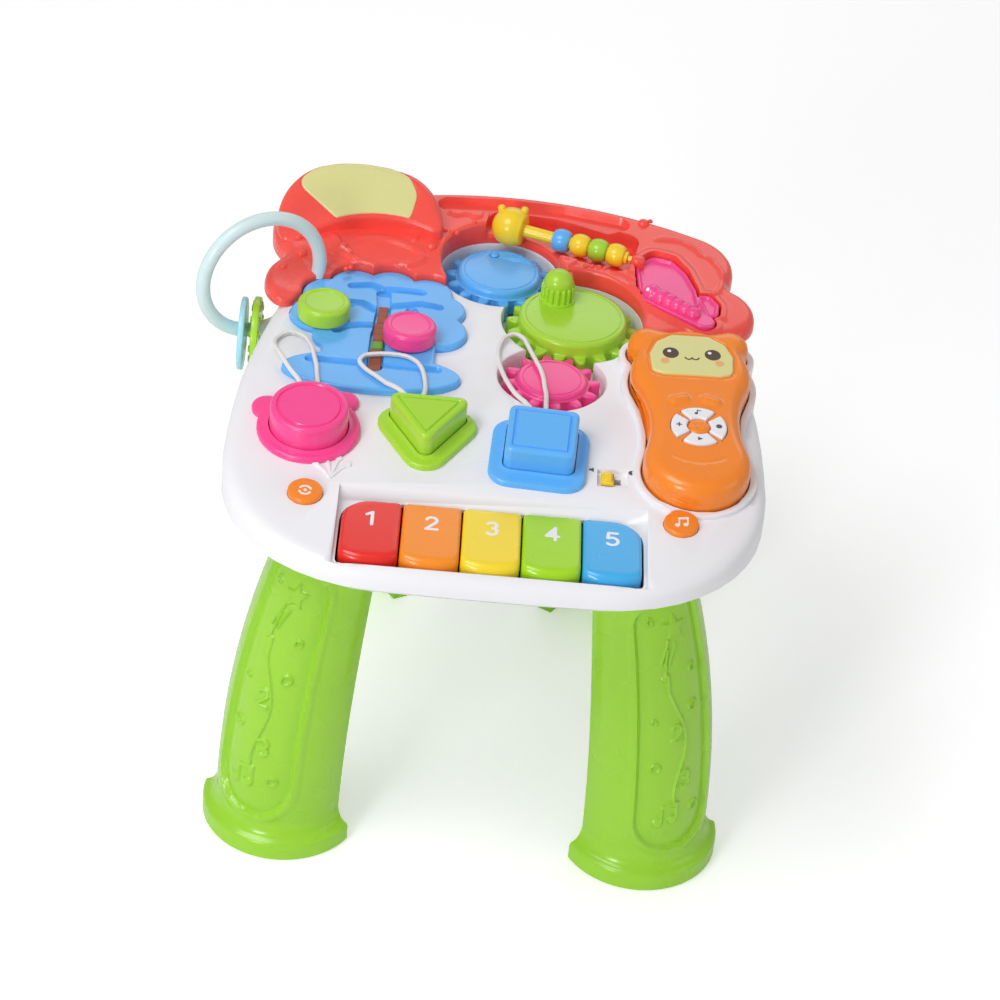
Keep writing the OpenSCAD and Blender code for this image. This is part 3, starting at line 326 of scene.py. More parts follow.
def baked(obj):
    """The object with its modifiers made into a plain mesh."""
    graph = bpy.context.evaluated_depsgraph_get()
    mesh = bpy.data.meshes.new_from_object(obj.evaluated_get(graph))
    obj.modifiers.clear()
    if obj.type == "MESH":
        obj.data = mesh
        return obj
    name = obj.name
    bpy.data.objects.remove(obj)
    made = to_object(name, mesh)
    made.name = name
    return made


def smooth(obj, angle=35.0):
    """Smooth shading with sharp edges over the angle."""
    for poly in obj.data.polygons:
        poly.use_smooth = True
    obj.data.set_sharp_from_angle(angle=math.radians(angle))
    return obj


def place(obj, body, slot, *nodes, material=None):
    """Gives a finished piece its material, the slot's unless one is given, and its body, and hides
    the nodes that it stands for.
    """
    obj.data.materials.clear()
    obj.data.materials.append(material or slot_material(slot))
    for poly in obj.data.polygons:
        poly.material_index = 0
    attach(obj, body)
    if nodes:
        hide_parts(*nodes)
    return obj


def stand_in(obj, node, angle=42.0):
    """Gives a finished piece the body and the slot of the node that it stands for."""
    return place(smooth(obj, angle), BODY_OF[node], SLOT_OF[node], node)


def flat_copy(node):
    """A copy of a node's mesh with its loose triangles merged into flat faces."""
    bm = bmesh.new()
    bm.from_mesh(frame["nodes"][node].data)
    bmesh.ops.remove_doubles(bm, verts=bm.verts, dist=2e-6)
    bmesh.ops.dissolve_limit(
        bm, angle_limit=math.radians(0.6), verts=bm.verts, edges=bm.edges, delimit={"NORMAL"}
    )
    mesh = bpy.data.meshes.new(node + "_skin")
    bm.to_mesh(mesh)
    bm.free()
    return to_object(node + "_skin", mesh)


def eased(obj, width, segments=3, angle=32.0):
    """Rounds every edge sharper than the angle, with even shading."""
    mod = obj.modifiers.new("ease", "BEVEL")
    mod.width = width * MM
    mod.segments = segments
    mod.limit_method = "ANGLE"
    mod.angle_limit = math.radians(angle)
    mod.use_clamp_overlap = False
    return baked(obj)


def dress(node, width, segments=2):
    """Replaces a node by its eased copy in the node's own slot."""
    return stand_in(eased(flat_copy(node), width, segments), node, 40)


def bridge_rings(rings, closed_ends=True):
    """Vertices and faces of rings of points, one above the other."""
    n = len(rings[0])
    verts = [p for ring in rings for p in ring]
    faces = []
    for k in range(len(rings) - 1):
        for i in range(n):
            j = (i + 1) % n
            faces.append((k * n + i, k * n + j, (k + 1) * n + j, (k + 1) * n + i))
    if closed_ends:
        faces.append(tuple(range(n - 1, -1, -1)))
        last = (len(rings) - 1) * n
        faces.append(tuple(range(last, last + n)))
    return verts, faces


def arc_points(circles, inset=0.0, step=3.0, run=4.0):
    """The outline of a chain of circles [x, y, r, sign] that touch, drawn in by inset."""
    count = len(circles)

    def handover(a, b):
        k = a[3] * a[2] - b[3] * b[2]
        return math.atan2((b[1] - a[1]) / k, (b[0] - a[0]) / k)

    points = []
    for i, (x, y, r, sign) in enumerate(circles):
        start = handover(circles[i - 1], circles[i])
        end = handover(circles[i], circles[(i + 1) % count])
        turn = (end - start) % (2 * math.pi)
        if sign < 0:
            turn -= 2 * math.pi
        pieces = max(
            1, math.ceil(abs(math.degrees(turn)) / step), math.ceil(abs(turn) * r / run)
        )
        q = sign * r - inset
        for j in range(pieces):
            a = start + turn * j / pieces
            points.append((x + q * math.cos(a), y + q * math.sin(a)))
    return points


def bridge(a, b, r, sign, side):
    """The circle of radius r that touches a and b on the side given."""
    ra = abs(a[3] * a[2] - sign * r)
    rb = abs(b[3] * b[2] - sign * r)
    dx, dy = b[0] - a[0], b[1] - a[1]
    d = math.hypot(dx, dy)
    u = (dx / d, dy / d)
    along = (ra * ra - rb * rb + d * d) / (2 * d)
    off = side * math.sqrt(max(0.0, ra * ra - along * along))
    return [a[0] + u[0] * along - u[1] * off, a[1] + u[1] * along + u[0] * off, r, sign]


def mirrored(c):
    """The circle on the other side of x = 0."""
    return [-c[0], c[1], c[2], c[3]]


# Steps of a round corner
CORNER_STEPS = 6


def rounded(points, radii, grow=0.0):
    """A polygon with round corners, anticlockwise, grown by a gap."""
    n = len(points)
    if not isinstance(radii, (list, tuple)):
        radii = [radii] * n
    p = [Vector(q) for q in points]

    def normal(i):
        e = p[(i + 1) % n] - p[i]
        return Vector((e.y, -e.x)).normalized()

    out = []
    for i in range(n):
        n0, n1, r = normal(i - 1), normal(i), radii[i]
        c = p[i] - (n0 + n1) * (r / (1 + n0.dot(n1)))
        a0 = math.atan2(n0.y, n0.x)
        turn = (math.atan2(n1.y, n1.x) - a0) % (2 * math.pi)
        for j in range(CORNER_STEPS + 1):
            a = a0 + turn * j / CORNER_STEPS
            out.append((c.x + (r + grow) * math.cos(a), c.y + (r + grow) * math.sin(a)))
    return out


# Lines keep this far inside an outline, in millimetres
EDGE_MARGIN = 0.06


def distance_inside(points, loop):
    """How far each point lies inside a closed loop; negative outside."""
    p = np.asarray(points, float)
    a = np.asarray(loop, float)
    b = np.roll(a, -1, axis=0)
    best = np.full(len(p), np.inf)
    crossings = np.zeros(len(p), int)
    for (ax, ay), (bx, by) in zip(a, b):
        ex, ey = bx - ax, by - ay
        length = ex * ex + ey * ey
        if length < 1e-12:
            continue
        t = np.clip(((p[:, 0] - ax) * ex + (p[:, 1] - ay) * ey) / length, 0, 1)
        d = (p[:, 0] - ax - t * ex) ** 2 + (p[:, 1] - ay - t * ey) ** 2
        best = np.minimum(best, d)
        if ay != by:
            cross = ((ay > p[:, 1]) != (by > p[:, 1])) & (
                p[:, 0] < (bx - ax) * (p[:, 1] - ay) / (by - ay) + ax
            )
            crossings += cross
    return np.sqrt(best) * np.where(crossings % 2 == 1, 1.0, -1.0)


def plateau(name, edge, inner, loops, height, grid=2.0, to_world=None):
    """A moulding with a shaped top over the rings of its outer wall.

    edge is a list of rings of (x, y, z), from the foot up to the ring where the shaped top begins.
    inner is that last ring in plan. loops are closed lines in plan, kept where they lie inside.
    height(points) gives z for plan points.
    """
    verts, faces = bridge_rings(edge, closed_ends=False)
    n = len(edge[0])
    faces.append(tuple(range(n - 1, -1, -1)))
    plan = [Vector(q[:2]) for q in inner]
    lines = [(i, (i + 1) % n) for i in range(n)]
    chains = [q for loop in loops for q in loop]
    kept = distance_inside(chains, inner) > EDGE_MARGIN if chains else []
    at = 0
    for loop in loops:
        m = len(loop)
        index = []
        for k in range(m):
            index.append(len(plan) if kept[at + k] else None)
            if kept[at + k]:
                plan.append(Vector(loop[k]))
        lines += [
            (index[k], index[(k + 1) % m])
            for k in range(m)
            if index[k] is not None and index[(k + 1) % m] is not None
        ]
        at += m
    tree = KDTree(len(plan))
    for i, q in enumerate(plan):
        tree.insert((q.x, q.y, 0), i)
    tree.balance()
    fixed = np.array([tuple(q) for q in plan[:n]])
    low, high = fixed.min(0), fixed.max(0)
    xs = np.arange(low[0], high[0], grid)
    ys = np.arange(low[1], high[1], grid * 0.87)
    gx, gy = np.meshgrid(xs, ys)
    gx = gx + (np.arange(len(ys)) % 2)[:, None] * grid / 2
    free = np.stack([gx.ravel(), gy.ravel()], 1)
    free = free[distance_inside(free, fixed) > grid * 0.4]
    plan += [Vector(q) for q in free if tree.find((q[0], q[1], 0))[2] > grid * 0.45]
    out = delaunay_2d_cdt(plan, lines, [list(range(n))], 1, 1e-5)
    top = np.array([tuple(q) for q in out[0]])
    z = height(top)
    base = len(verts)
    verts += [(q[0], q[1], h) for q, h in zip(top, z)]
    origin = {}
    for i, sources in enumerate(out[3]):
        for s in sources:
            if s < n:
                origin[i] = (len(edge) - 1) * n + s
    faces += [tuple(origin.get(i, base + i) for i in f) for f in out[2]]
    if to_world:
        verts = [to_world(*q) for q in verts]
    used = sorted({i for f in faces for i in f})
    index = {v: k for k, v in enumerate(used)}
    return mesh_object(name, [verts[i] for i in used], [[index[i] for i in f] for f in faces])


# ---------------------------------------------------------------- geometry nodes


class Geo:
    """A geometry node group, with one geometry input and one output."""

    def __init__(self, name):
        self.tree = bpy.data.node_groups.new(name, "GeometryNodeTree")
        for way in ("INPUT", "OUTPUT"):
            self.tree.interface.new_socket(
                "Geometry", in_out=way, socket_type="NodeSocketGeometry"
            )
        self.start = self.tree.nodes.new("NodeGroupInput")
        self.end = self.tree.nodes.new("NodeGroupOutput")

    def value(self, name, kind):
        """A new input of the group: its identifier and its socket."""
        socket = self.tree.interface.new_socket(name, in_out="INPUT", socket_type=kind)
        return socket.identifier, self.start.outputs[name]

    def node(self, kind, inputs=None, **settings):
        """A node with its settings and inputs, which are sockets or plain values."""
        made = self.tree.nodes.new(kind)
        for key, value in settings.items():
            setattr(made, key, value)
        for key, value in (inputs or {}).items():
            if isinstance(value, bpy.types.NodeSocket):
                self.tree.links.new(value, made.inputs[key])
            else:
                made.inputs[key].default_value = value
        return made

    def close(self, geometry, material):
        """Realizes the instances, sets the material and joins it to the output."""
        real = self.node("GeometryNodeRealizeInstances", {"Geometry": geometry})
        done = self.node(
            "GeometryNodeSetMaterial", {"Geometry": real.outputs[0], "Material": material}
        )
        self.tree.links.new(done.outputs[0], self.end.inputs[0])


def tube_group(material, sides):
    """Sweeps a circle along a curve, with a UV map: once round in U, turns of the weave in V."""
    g = Geo("swept_tube")
    radius_id, radius = g.value("Radius", "NodeSocketFloat")
    spacing_id, spacing = g.value("Spacing", "NodeSocketFloat")
    weave_id, weave = g.value("Weave", "NodeSocketFloat")
    line = g.node(
        "GeometryNodeResampleCurve", {"Curve": g.start.outputs[0], "Length": spacing}, mode="LENGTH"
    )
    along = g.node("GeometryNodeSplineParameter")
    turns = g.node(
        "ShaderNodeMath", {0: along.outputs["Length"], 1: weave}, operation="MULTIPLY"
    )
    kept = g.node("GeometryNodeCaptureAttribute", {"Geometry": line.outputs[0]})
    kept.capture_items.new("FLOAT", "v")
    g.tree.links.new(turns.outputs[0], kept.inputs[1])
    circle = g.node("GeometryNodeCurvePrimitiveCircle", {"Resolution": sides, "Radius": radius})
    factor = g.node("GeometryNodeSplineParameter")
    kept_u = g.node("GeometryNodeCaptureAttribute", {"Geometry": circle.outputs[0]})
    kept_u.capture_items.new("FLOAT", "u")
    g.tree.links.new(factor.outputs["Factor"], kept_u.inputs[1])
    swept = g.node(
        "GeometryNodeCurveToMesh",
        {"Curve": kept.outputs[0], "Profile Curve": kept_u.outputs[0], "Fill Caps": True},
    )
    uv = g.node("ShaderNodeCombineXYZ", {0: kept_u.outputs[1], 1: kept.outputs[1]})
    stored = g.node(
        "GeometryNodeStoreNamedAttribute",
        {"Geometry": swept.outputs[0], "Name": "UVMap", "Value": uv.outputs[0]},
        data_type="FLOAT2",
        domain="CORNER",
    )
    soft = g.node("GeometryNodeSetShadeSmooth", {"Geometry": stored.outputs[0]})
    g.close(soft.outputs[0], material)
    return g.tree, radius_id, spacing_id, weave_id


def curve_object(name, points):
    """A line through points in metres."""
    data = bpy.data.curves.new(name, "CURVE")
    data.dimensions = "3D"
    spline = data.splines.new("POLY")
    spline.points.add(len(points) - 1)
    for p, q in zip(spline.points, points):
        p.co = (*q, 1)
    return to_object(name, data)


# Steps of a smooth line between two of its points
PATH_STEPS = 8


def eased_path(points):
    """A Catmull-Rom line through points."""
    p = [Vector(q) for q in points]
    p = [p[0] * 2 - p[1]] + p + [p[-1] * 2 - p[-2]]
    out = []
    for i in range(1, len(p) - 2):
        a, b, c, d = p[i - 1], p[i], p[i + 1], p[i + 2]
        for k in range(PATH_STEPS):
            t = k / PATH_STEPS
            out.append(
                0.5 * ((2 * b) + (c - a) * t + (2 * a - 5 * b + 4 * c - d) * t * t
                       + (3 * b - a - 3 * c + d) * t ** 3)
            )
    out.append(p[-2])
    return out


def swept(name, points, radius, material, spacing, weave, sides):
    """A tube along points in metres, made by the swept_tube group."""
    tree, radius_id, spacing_id, weave_id = tube_group(material, sides)
    obj = curve_object(name, points)
    mod = obj.modifiers.new("tube", "NODES")
    mod.node_group = tree
    mod[radius_id] = radius
    mod[spacing_id] = spacing
    mod[weave_id] = weave
    return baked(obj)


def ring_group(material, thing):
    """Sets copies of a mesh evenly on a circle about Z, each turned outwards."""
    g = Geo("ring_of_copies")
    count_id, count = g.value("Count", "NodeSocketInt")
    radius_id, radius = g.value("Radius", "NodeSocketFloat")
    circle = g.node("GeometryNodeMeshCircle", {"Vertices": count, "Radius": radius})
    info = g.node("GeometryNodeObjectInfo", {"Object": thing})
    index = g.node("GeometryNodeInputIndex")
    share = g.node("ShaderNodeMath", {0: index.outputs[0], 1: count}, operation="DIVIDE")
    turn = g.node("ShaderNodeMath", {0: share.outputs[0], 1: math.tau}, operation="MULTIPLY")
    spin = g.node("ShaderNodeCombineXYZ", {2: turn.outputs[0]})
    copies = g.node(
        "GeometryNodeInstanceOnPoints",
        {
            "Points": circle.outputs[0],
            "Instance": info.outputs["Geometry"],
            "Rotation": spin.outputs[0],
        },
    )
    g.close(copies.outputs[0], material)
    return g.tree, count_id, radius_id


def ring_of(name, thing, count, radius, material):
    """Copies of a mesh object on a circle, as one mesh; the pattern object goes."""
    tree, count_id, radius_id = ring_group(material, thing)
    obj = mesh_object(name, [(0, 0, 0)], [])
    mod = obj.modifiers.new("ring", "NODES")
    mod.node_group = tree
    mod[count_id] = count
    mod[radius_id] = radius
    obj = baked(obj)
    bpy.data.objects.remove(thing)
    return obj


# ---------------------------------------------------------------- moulded shapes


def ramp(d, low, high):
    """0 below low, 1 above high, smooth between."""
    t = np.clip((d - low) / (high - low), 0, 1)
    return t * t * (3 - 2 * t)


def trace(f, xs, ys, step, spacing):
    """Closed lines where a grid of values changes its sign."""
    f = np.where(np.abs(f) < 1e-9, 1e-9, f)
    links = {}

    def cross(j, i, dj, di):
        t = f[j, i] / (f[j, i] - f[j + dj, i + di])
        return (xs[i] + di * step * t, ys[j] + dj * step * t)

    above = f > 0
    mixed = above[:-1, :-1].astype(int) + above[1:, 1:] + above[:-1, 1:] + above[1:, :-1]
    for j, i in zip(*np.where((mixed > 0) & (mixed < 4))):
        inside = [above[j, i], above[j, i + 1], above[j + 1, i + 1], above[j + 1, i]]
        sides = [
            ("h", j, i, (j, i, 0, 1)), ("v", j, i + 1, (j, i + 1, 1, 0)),
            ("h", j + 1, i, (j + 1, i, 0, 1)), ("v", j, i, (j, i, 1, 0)),
        ]
        cut = [k for k in range(4) if inside[k] != inside[(k + 1) % 4]]
        for k in range(0, len(cut), 2):
            one, two = sides[cut[k]], sides[cut[k + 1]]
            links.setdefault(one[:3], [cross(*one[3]), []])[1].append(two[:3])
            links.setdefault(two[:3], [cross(*two[3]), []])[1].append(one[:3])
    loops = []
    seen = set()
    for start in links:
        if start in seen:
            continue
        loop, here = [], start
        while here is not None:
            seen.add(here)
            loop.append(links[here][0])
            here = next((k for k in links[here][1] if k not in seen), None)
        if len(loop) > 6:
            loops.append(even_loop(loop, spacing))
    return loops


def contours(field, box, levels, step=0.8, spacing=1.2):
    """For each level, the closed lines in plan where field(points) has that value."""
    xs = np.arange(box[0], box[2] + step, step)
    ys = np.arange(box[1], box[3] + step, step)
    gx, gy = np.meshgrid(xs, ys)
    f = field(np.stack([gx.ravel(), gy.ravel()], 1)).reshape(gx.shape)
    return [trace(f - level, xs, ys, step, spacing) for level in levels]


def even_loop(loop, spacing):
    """A closed line with its points set at an even spacing."""
    p = np.array(loop + loop[:1])
    s = np.concatenate([[0], np.cumsum(np.hypot(*(p[1:] - p[:-1]).T))])
    count = max(6, int(s[-1] / spacing))
    t = np.linspace(0, s[-1], count, endpoint=False)
    return list(zip(np.interp(t, s, p[:, 0]), np.interp(t, s, p[:, 1])))


def disc_field(x, y, r):
    """How far points lie inside a circle."""
    return lambda p: r - np.hypot(p[:, 0] - x, p[:, 1] - y)


def bar_field(a, b, r):
    """How far points lie inside a straight bar with round ends."""
    ax, ay = a
    dx, dy = b[0] - ax, b[1] - ay
    length = dx * dx + dy * dy

    def field(p):
        t = np.clip(((p[:, 0] - ax) * dx + (p[:, 1] - ay) * dy) / length, 0, 1)
        return r - np.hypot(p[:, 0] - ax - t * dx, p[:, 1] - ay - t * dy)

    return field


def line_field(points, r):
    """How far points lie inside a bent bar."""
    return any_of(*[bar_field(a, b, r) for a, b in zip(points, points[1:])])


def arc_field(x, y, radius, start, end, r):
    """How far points lie inside a bar bent round (x, y) from one bearing to another, in degrees."""
    steps = max(2, int(abs(end - start) / 6))
    line = [
        (x + radius * math.cos(math.radians(start + (end - start) * k / steps)),
         y + radius * math.sin(math.radians(start + (end - start) * k / steps)))
        for k in range(steps + 1)
    ]
    return line_field(line, r)


def shape_field(points):
    """How far points lie inside a polygon."""
    return lambda p: distance_inside(p, points)


def any_of(*fields):
    """Inside any of the shapes."""
    return lambda p: np.max([f(p) for f in fields], axis=0)


def all_of(*fields):
    """Inside all of the shapes."""
    return lambda p: np.min([f(p) for f in fields], axis=0)


# Where a wide slope has its lines, in halves of its width
SOFT = (-1.0, -0.4, 0.4, 1.0)


class Relief:
    """Steps on a surface: each has a shape, a rise or a floor level, and the width of its slope."""

    def __init__(self):
        self.parts = []
        self.loops = []

    def add(self, field, box, rise=0.0, floor=None, slope=1.0, lines=(-1, 0, 1)):
        """Adds one step, whose slope reaches as far outside the shape as inside."""
        self.parts.append((field, rise, floor, slope))
        levels = [share * slope / 2 for share in lines]
        step = 0.6 if slope < 1.6 else 1.0
        for found in contours(field, box, levels, step, 1.3):
            self.loops += found

    def apply(self, points, z):
        """The heights with every step made."""
        for field, rise, floor, slope in self.parts:
            goal = z + rise if floor is None else floor
            z = z + (goal - z) * ramp(field(points), -slope / 2, slope / 2)
        return z


# Where the rounding of an edge has its rings, from the wall (0) to the flat top (1)
ROUND_LEVELS = (0.12, 0.3, 0.55, 0.8, 1.0)
# The least height of a moulding's wall, in millimetres
LEAST_WALL = 0.05


def level(z):
    """A function of points from a number; a function stays as it is."""
    return z if callable(z) else lambda p: np.full(len(p), float(z))


def moulding(name, field, box, foot, top, fillet, relief=None, drop=None, grid=2.0, spacing=1.5,
             step=1.0, to_world=None):
    """A closed moulding whose outline is where field is 0, and whose top edge rounds over.

    It stands on foot and reaches up to top. fillet is the rounding's width in plan and drop its
    height. All four are numbers or functions of the points.
    """
    width, top = level(fillet), level(top)
    fall = width if drop is None else level(drop)

    def share(p):
        return field(p) / width(p)

    def height(p):
        z = top(p)
        if relief:
            z = relief.apply(p, z)
        t = np.clip(share(p), 0, 1)
        return z - fall(p) * (1 - np.sqrt(1 - (1 - t) ** 2))

    lines = contours(share, box, (0.0, *ROUND_LEVELS), step, spacing)
    ring = max(lines[0], key=len)
    x, y = np.array(ring).T
    if np.sum(x * np.roll(y, -1) - y * np.roll(x, -1)) < 0:
        ring = ring[::-1]
    ring_points = np.array(ring)
    base = level(foot)(ring_points)
    rim = np.maximum(height(ring_points), base + LEAST_WALL)
    edge = [[(*q, h) for q, h in zip(ring, base)], [(*q, h) for q, h in zip(ring, rim)]]
    loops = [loop for found in lines[1:] for loop in found]
    if relief:
        loops += relief.loops
    return plateau(name, edge, ring, loops, height, grid, to_world)


def box_of(points, margin):
    """The plan box round some points."""
    p = np.asarray(points, float)
    return (*(p.min(0) - margin), *(p.max(0) + margin))


def turned(name, profile, at, axis=(0, 0, 1), sides=64, angle=35.0):
    """A solid of revolution about an axis through at: (radius, height) pairs from foot to tip."""
    z = Vector(axis).normalized()
    x = z.orthogonal().normalized()
    y = z.cross(x)
    at = Vector(at)
    verts, rows = [], []
    for r, h in profile:
        if r < 1e-6:
            rows.append([len(verts)])
            verts.append(at + z * h)
            continue
        rows.append(list(range(len(verts), len(verts) + sides)))
        for k in range(sides):
            a = math.tau * k / sides
            verts.append(at + z * h + (x * math.cos(a) + y * math.sin(a)) * r)
    faces = []
    for low, high in zip(rows, rows[1:]):
        for k in range(sides):
            m = (k + 1) % sides
            if len(low) == 1 and len(high) == 1:
                break
            if len(low) == 1:
                faces.append((low[0], high[k], high[m]))
            elif len(high) == 1:
                faces.append((low[k], low[m], high[0]))
            else:
                faces.append((low[k], low[m], high[m], high[k]))
    if len(rows[0]) > 1:
        faces.append(tuple(reversed(rows[0])))
    if len(rows[-1]) > 1:
        faces.append(tuple(rows[-1]))
    return smooth(mesh_object(name, verts, faces), angle)


def quarter(r0, h0, r1, h1, steps=5):
    """Points of a rounding that leaves (r0, h0) upwards and arrives level at (r1, h1)."""
    return [
        (r1 + (r0 - r1) * math.cos(math.pi / 2 * k / steps),
         h0 + (h1 - h0) * math.sin(math.pi / 2 * k / steps))
        for k in range(steps + 1)
    ]


def join(objects, name):
    """Several mesh objects as one."""
    bm = bmesh.new()
    for obj in objects:
        bm.from_mesh(obj.data)
    mesh = bpy.data.meshes.new(name)
    bm.to_mesh(mesh)
    bm.free()
    for obj in objects:
        bpy.data.objects.remove(obj)
    return to_object(name, mesh)


# ---------------------------------------------------------------- settings


class StageSettings(bpy.types.PropertyGroup):
    """The camera and the light."""

    azimuth: bpy.props.FloatProperty(
        name="Azimuth", description="Turn of the view about the table",
        default=math.radians(-1.86), subtype="ANGLE",
    )
    elevation: bpy.props.FloatProperty(
        name="Elevation", description="Height of the view over the floor",
        default=math.radians(36.06), subtype="ANGLE",
    )
    roll: bpy.props.FloatProperty(
        name="Roll", description="Turn of the picture, clockwise",
        default=math.radians(6.09), subtype="ANGLE",
    )
    distance: bpy.props.FloatProperty(
        name="Distance", description="From the camera to what it looks at",
        default=2.0, unit="LENGTH",
    )
    target: bpy.props.FloatVectorProperty(
        name="Target", description="The point that the camera looks at",
        default=(0.0081, 0.013, 0.1917), subtype="XYZ", unit="LENGTH",
    )
    lens: bpy.props.FloatProperty(
        name="Lens", description="Focal length on a 36 mm sensor", default=108.0,
    )
    key_power: bpy.props.FloatProperty(
        name="Key light", description="Power of the key light", default=17.0, unit="POWER",
    )
    floor_colour: bpy.props.FloatVectorProperty(
        name="Floor", description="Colour of the floor", default=(0.97, 0.97, 0.975),
        subtype="COLOR",
    )


class CordSettings(bpy.types.PropertyGroup):
    """The carrying cords of the blocks."""

    diameter: bpy.props.FloatProperty(
        name="Diameter", description="Thickness of a cord", default=0.003, unit="LENGTH",
    )
    spacing: bpy.props.FloatProperty(
        name="Spacing", description="Length between a cord's rings", default=0.0012,
        unit="LENGTH",
    )
    weave: bpy.props.FloatProperty(
        name="Weave", description="Strand crossings in a metre", default=420.0,
    )


ROUTES = {
    "round": [
        (-123, -52, 307), (-124, -46, 307), (-126, -40, 307), (-129, -33, 307), (-133, -25, 306),
        (-137, -17, 306), (-141, -8, 306), (-145, 1, 305), (-147, 10, 303), (-145, 19, 302),
        (-139, 25, 302), (-132, 24, 302), (-127, 18, 303), (-124, 10, 304), (-122, 2, 306),
        (-120, -7, 306), (-118, -16, 306), (-117, -25, 306), (-116, -34, 307), (-115, -40, 307),
        (-115, -46, 307), (-115, -52, 307),
    ],
    "triangle": [
        (-57, -55, 307), (-58, -49, 307), (-60, -42, 307), (-66, -35, 307), (-73, -29, 306),
        (-80, -22, 306), (-87, -15, 306), (-91, -7, 306), (-88, 0, 306), (-80, 3, 306),
        (-71, 4, 306), (-62, 3, 306), (-55, -2, 306), (-51, -10, 306), (-49, -19, 306),
        (-48, -28, 306), (-48, -37, 307), (-49, -43, 307), (-49, -49, 307), (-49, -55, 307),
    ],
    "square": [
        (23, -58, 307), (22, -52, 307), (20, -45, 306), (16, -36, 305), (11, -28, 304),
        (7, -19, 303), (3, -9, 303), (0, 1, 303), (-2, 11, 303), (-3, 21, 303), (-2, 31, 303),
        (1, 40, 303), (7, 45, 303), (13, 41, 303), (16, 33, 303), (19, 24, 303), (22, 15, 303),
        (25, 6, 303), (27, -4, 303), (28, -14, 303), (29, -24, 304), (29, -34, 305),
        (29, -44, 306), (29, -52, 307), (29, -58, 307),
    ],
}


# Light that the camera alone sees from the pale floor, and the light from all round
FLOOR_GLOW = 0.3
WORLD_LIGHT = 0.42
FLOOR_HALF = 6000.0
# Lamps: place, height aimed at, size in metres and share of the key light's power
LAMPS = (
    ("key_light", (-0.9, -0.7, 2.0), 0.25, (1.0, 1.0), 1.0),
    ("front_light", (-1.2, -2.1, 1.0), 0.15, (0.6, 0.6), 0.95),
    ("rear_light", (0.4, 2.2, 1.6), 0.3, (2.0, 1.0), 0.4),
    ("side_light", (2.0, -0.6, 1.0), 0.2, (1.2, 1.2), 0.2),
)


class TABLE_OT_stage(bpy.types.Operator):
    """Makes the camera, the floor and the lights"""

    bl_idname = "activity_table.stage"
    bl_label = "Stage"

    def execute(self, context):
        s = context.scene.table_stage
        sa, ca = math.sin(s.azimuth), math.cos(s.azimuth)
        se, ce = math.sin(s.elevation), math.cos(s.elevation)
        back = Vector((sa * ce, -ca * ce, se))
        right = Vector((ca, sa, 0))
        up = back.cross(right)
        sr, cr = math.sin(s.roll), math.cos(s.roll)
        turned_right = cr * right + sr * up
        turned_up = cr * up - sr * right
        data = bpy.data.cameras.new("camera")
        data.lens = s.lens
        data.sensor_width = 36.0
        data.clip_end = 50.0
        camera = bpy.data.objects.new("camera", data)
        context.scene.collection.objects.link(camera)
        turn = Matrix((turned_right, turned_up, back)).transposed().to_4x4()
        camera.matrix_world = Matrix.Translation(Vector(s.target) + s.distance * back) @ turn
        context.scene.camera = camera

        corners = [(-1, -1), (1, -1), (1, 1), (-1, 1)]
        floor = mesh_object(
            "floor", [(x * FLOOR_HALF, y * FLOOR_HALF, 0) for x, y in corners], [(0, 1, 2, 3)]
        )
        f = Shader("pale_floor")
        pale = (*s.floor_colour, 1)
        deep = (*(0.995 * c for c in s.floor_colour), 1)
        seen = f.node("ShaderNodeLightPath", out="Is Camera Ray")
        material = f.principled(
            {
                "Base Color": f.mix(f.noise(1.5), deep, pale),
                "Roughness": 0.9,
                "Specular IOR Level": 0.1,
                "Emission Color": f.mix(seen, (0, 0, 0, 1), (FLOOR_GLOW,) * 3 + (1,)),
                "Emission Strength": 1.0,
            }
        )
        floor.data.materials.append(material)

        for name, place, aim, size, share in LAMPS:
            light = bpy.data.lights.new(name, "AREA")
            light.shape = "RECTANGLE"
            light.size, light.size_y = size
            light.energy = s.key_power * share
            lamp = bpy.data.objects.new(name, light)
            context.scene.collection.objects.link(lamp)
            way = Vector((0, 0, aim)) - Vector(place)
            lamp.rotation_euler = way.to_track_quat("-Z", "Y").to_euler()
            lamp.location = place
        world = bpy.data.worlds.new("soft_world")
        world.use_nodes = True
        sky = world.node_tree.nodes["Background"].inputs
        sky["Color"].default_value = (1, 1, 1, 1)
        sky["Strength"].default_value = WORLD_LIGHT
        context.scene.world = world
        context.scene.view_settings.view_transform = "Standard"
        return {"FINISHED"}


class TABLE_OT_cords(bpy.types.Operator):
    """Makes the woven carrying cords of the shape blocks"""

    bl_idname = "activity_table.cords"
    bl_label = "Cords"

    def execute(self, context):
        s = context.scene.table_cords
        for shape, route in ROUTES.items():
            points = [tuple(c * MM for c in q) for q in route]
            path = eased_path(points)
            name = "woven_cord_" + shape
            obj = swept(name, path, s.diameter / 2, cord_material(), s.spacing, s.weave, 14)
            place(obj, "block_" + shape, "cord", "cord_" + shape, material=cord_material())
            length = sum((b - a).length for a, b in zip(path, path[1:]))
            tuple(points[0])
        return {"FINISHED"}


class TABLE_OT_plain(bpy.types.Operator):
    """Eases the edges of the mouldings whose shape the frame already has"""

    bl_idname = "activity_table.plain"
    bl_label = "Mouldings"

    def execute(self, context):
        for node in sorted(frame["nodes"]):
            if node not in SPECIAL:
                dress(node, PLAIN_EASE)
        return {"FINISHED"}


# Width of the rounding of plain edges, in millimetres
PLAIN_EASE = 0.4
# The nodes that other operators make
SPECIAL = {"cord_" + shape for shape in ROUTES}
STEPS = [TABLE_OT_stage, TABLE_OT_cords, TABLE_OT_plain]


# ---------------------------------------------------------------- rear hood, dome and tree

BLUE_WELL = [-4.96, 122.02, 39.93, -1]
GREEN_WELL = [45, 69, 46.98, -1]
BOW = [0, -102, 300, 1]


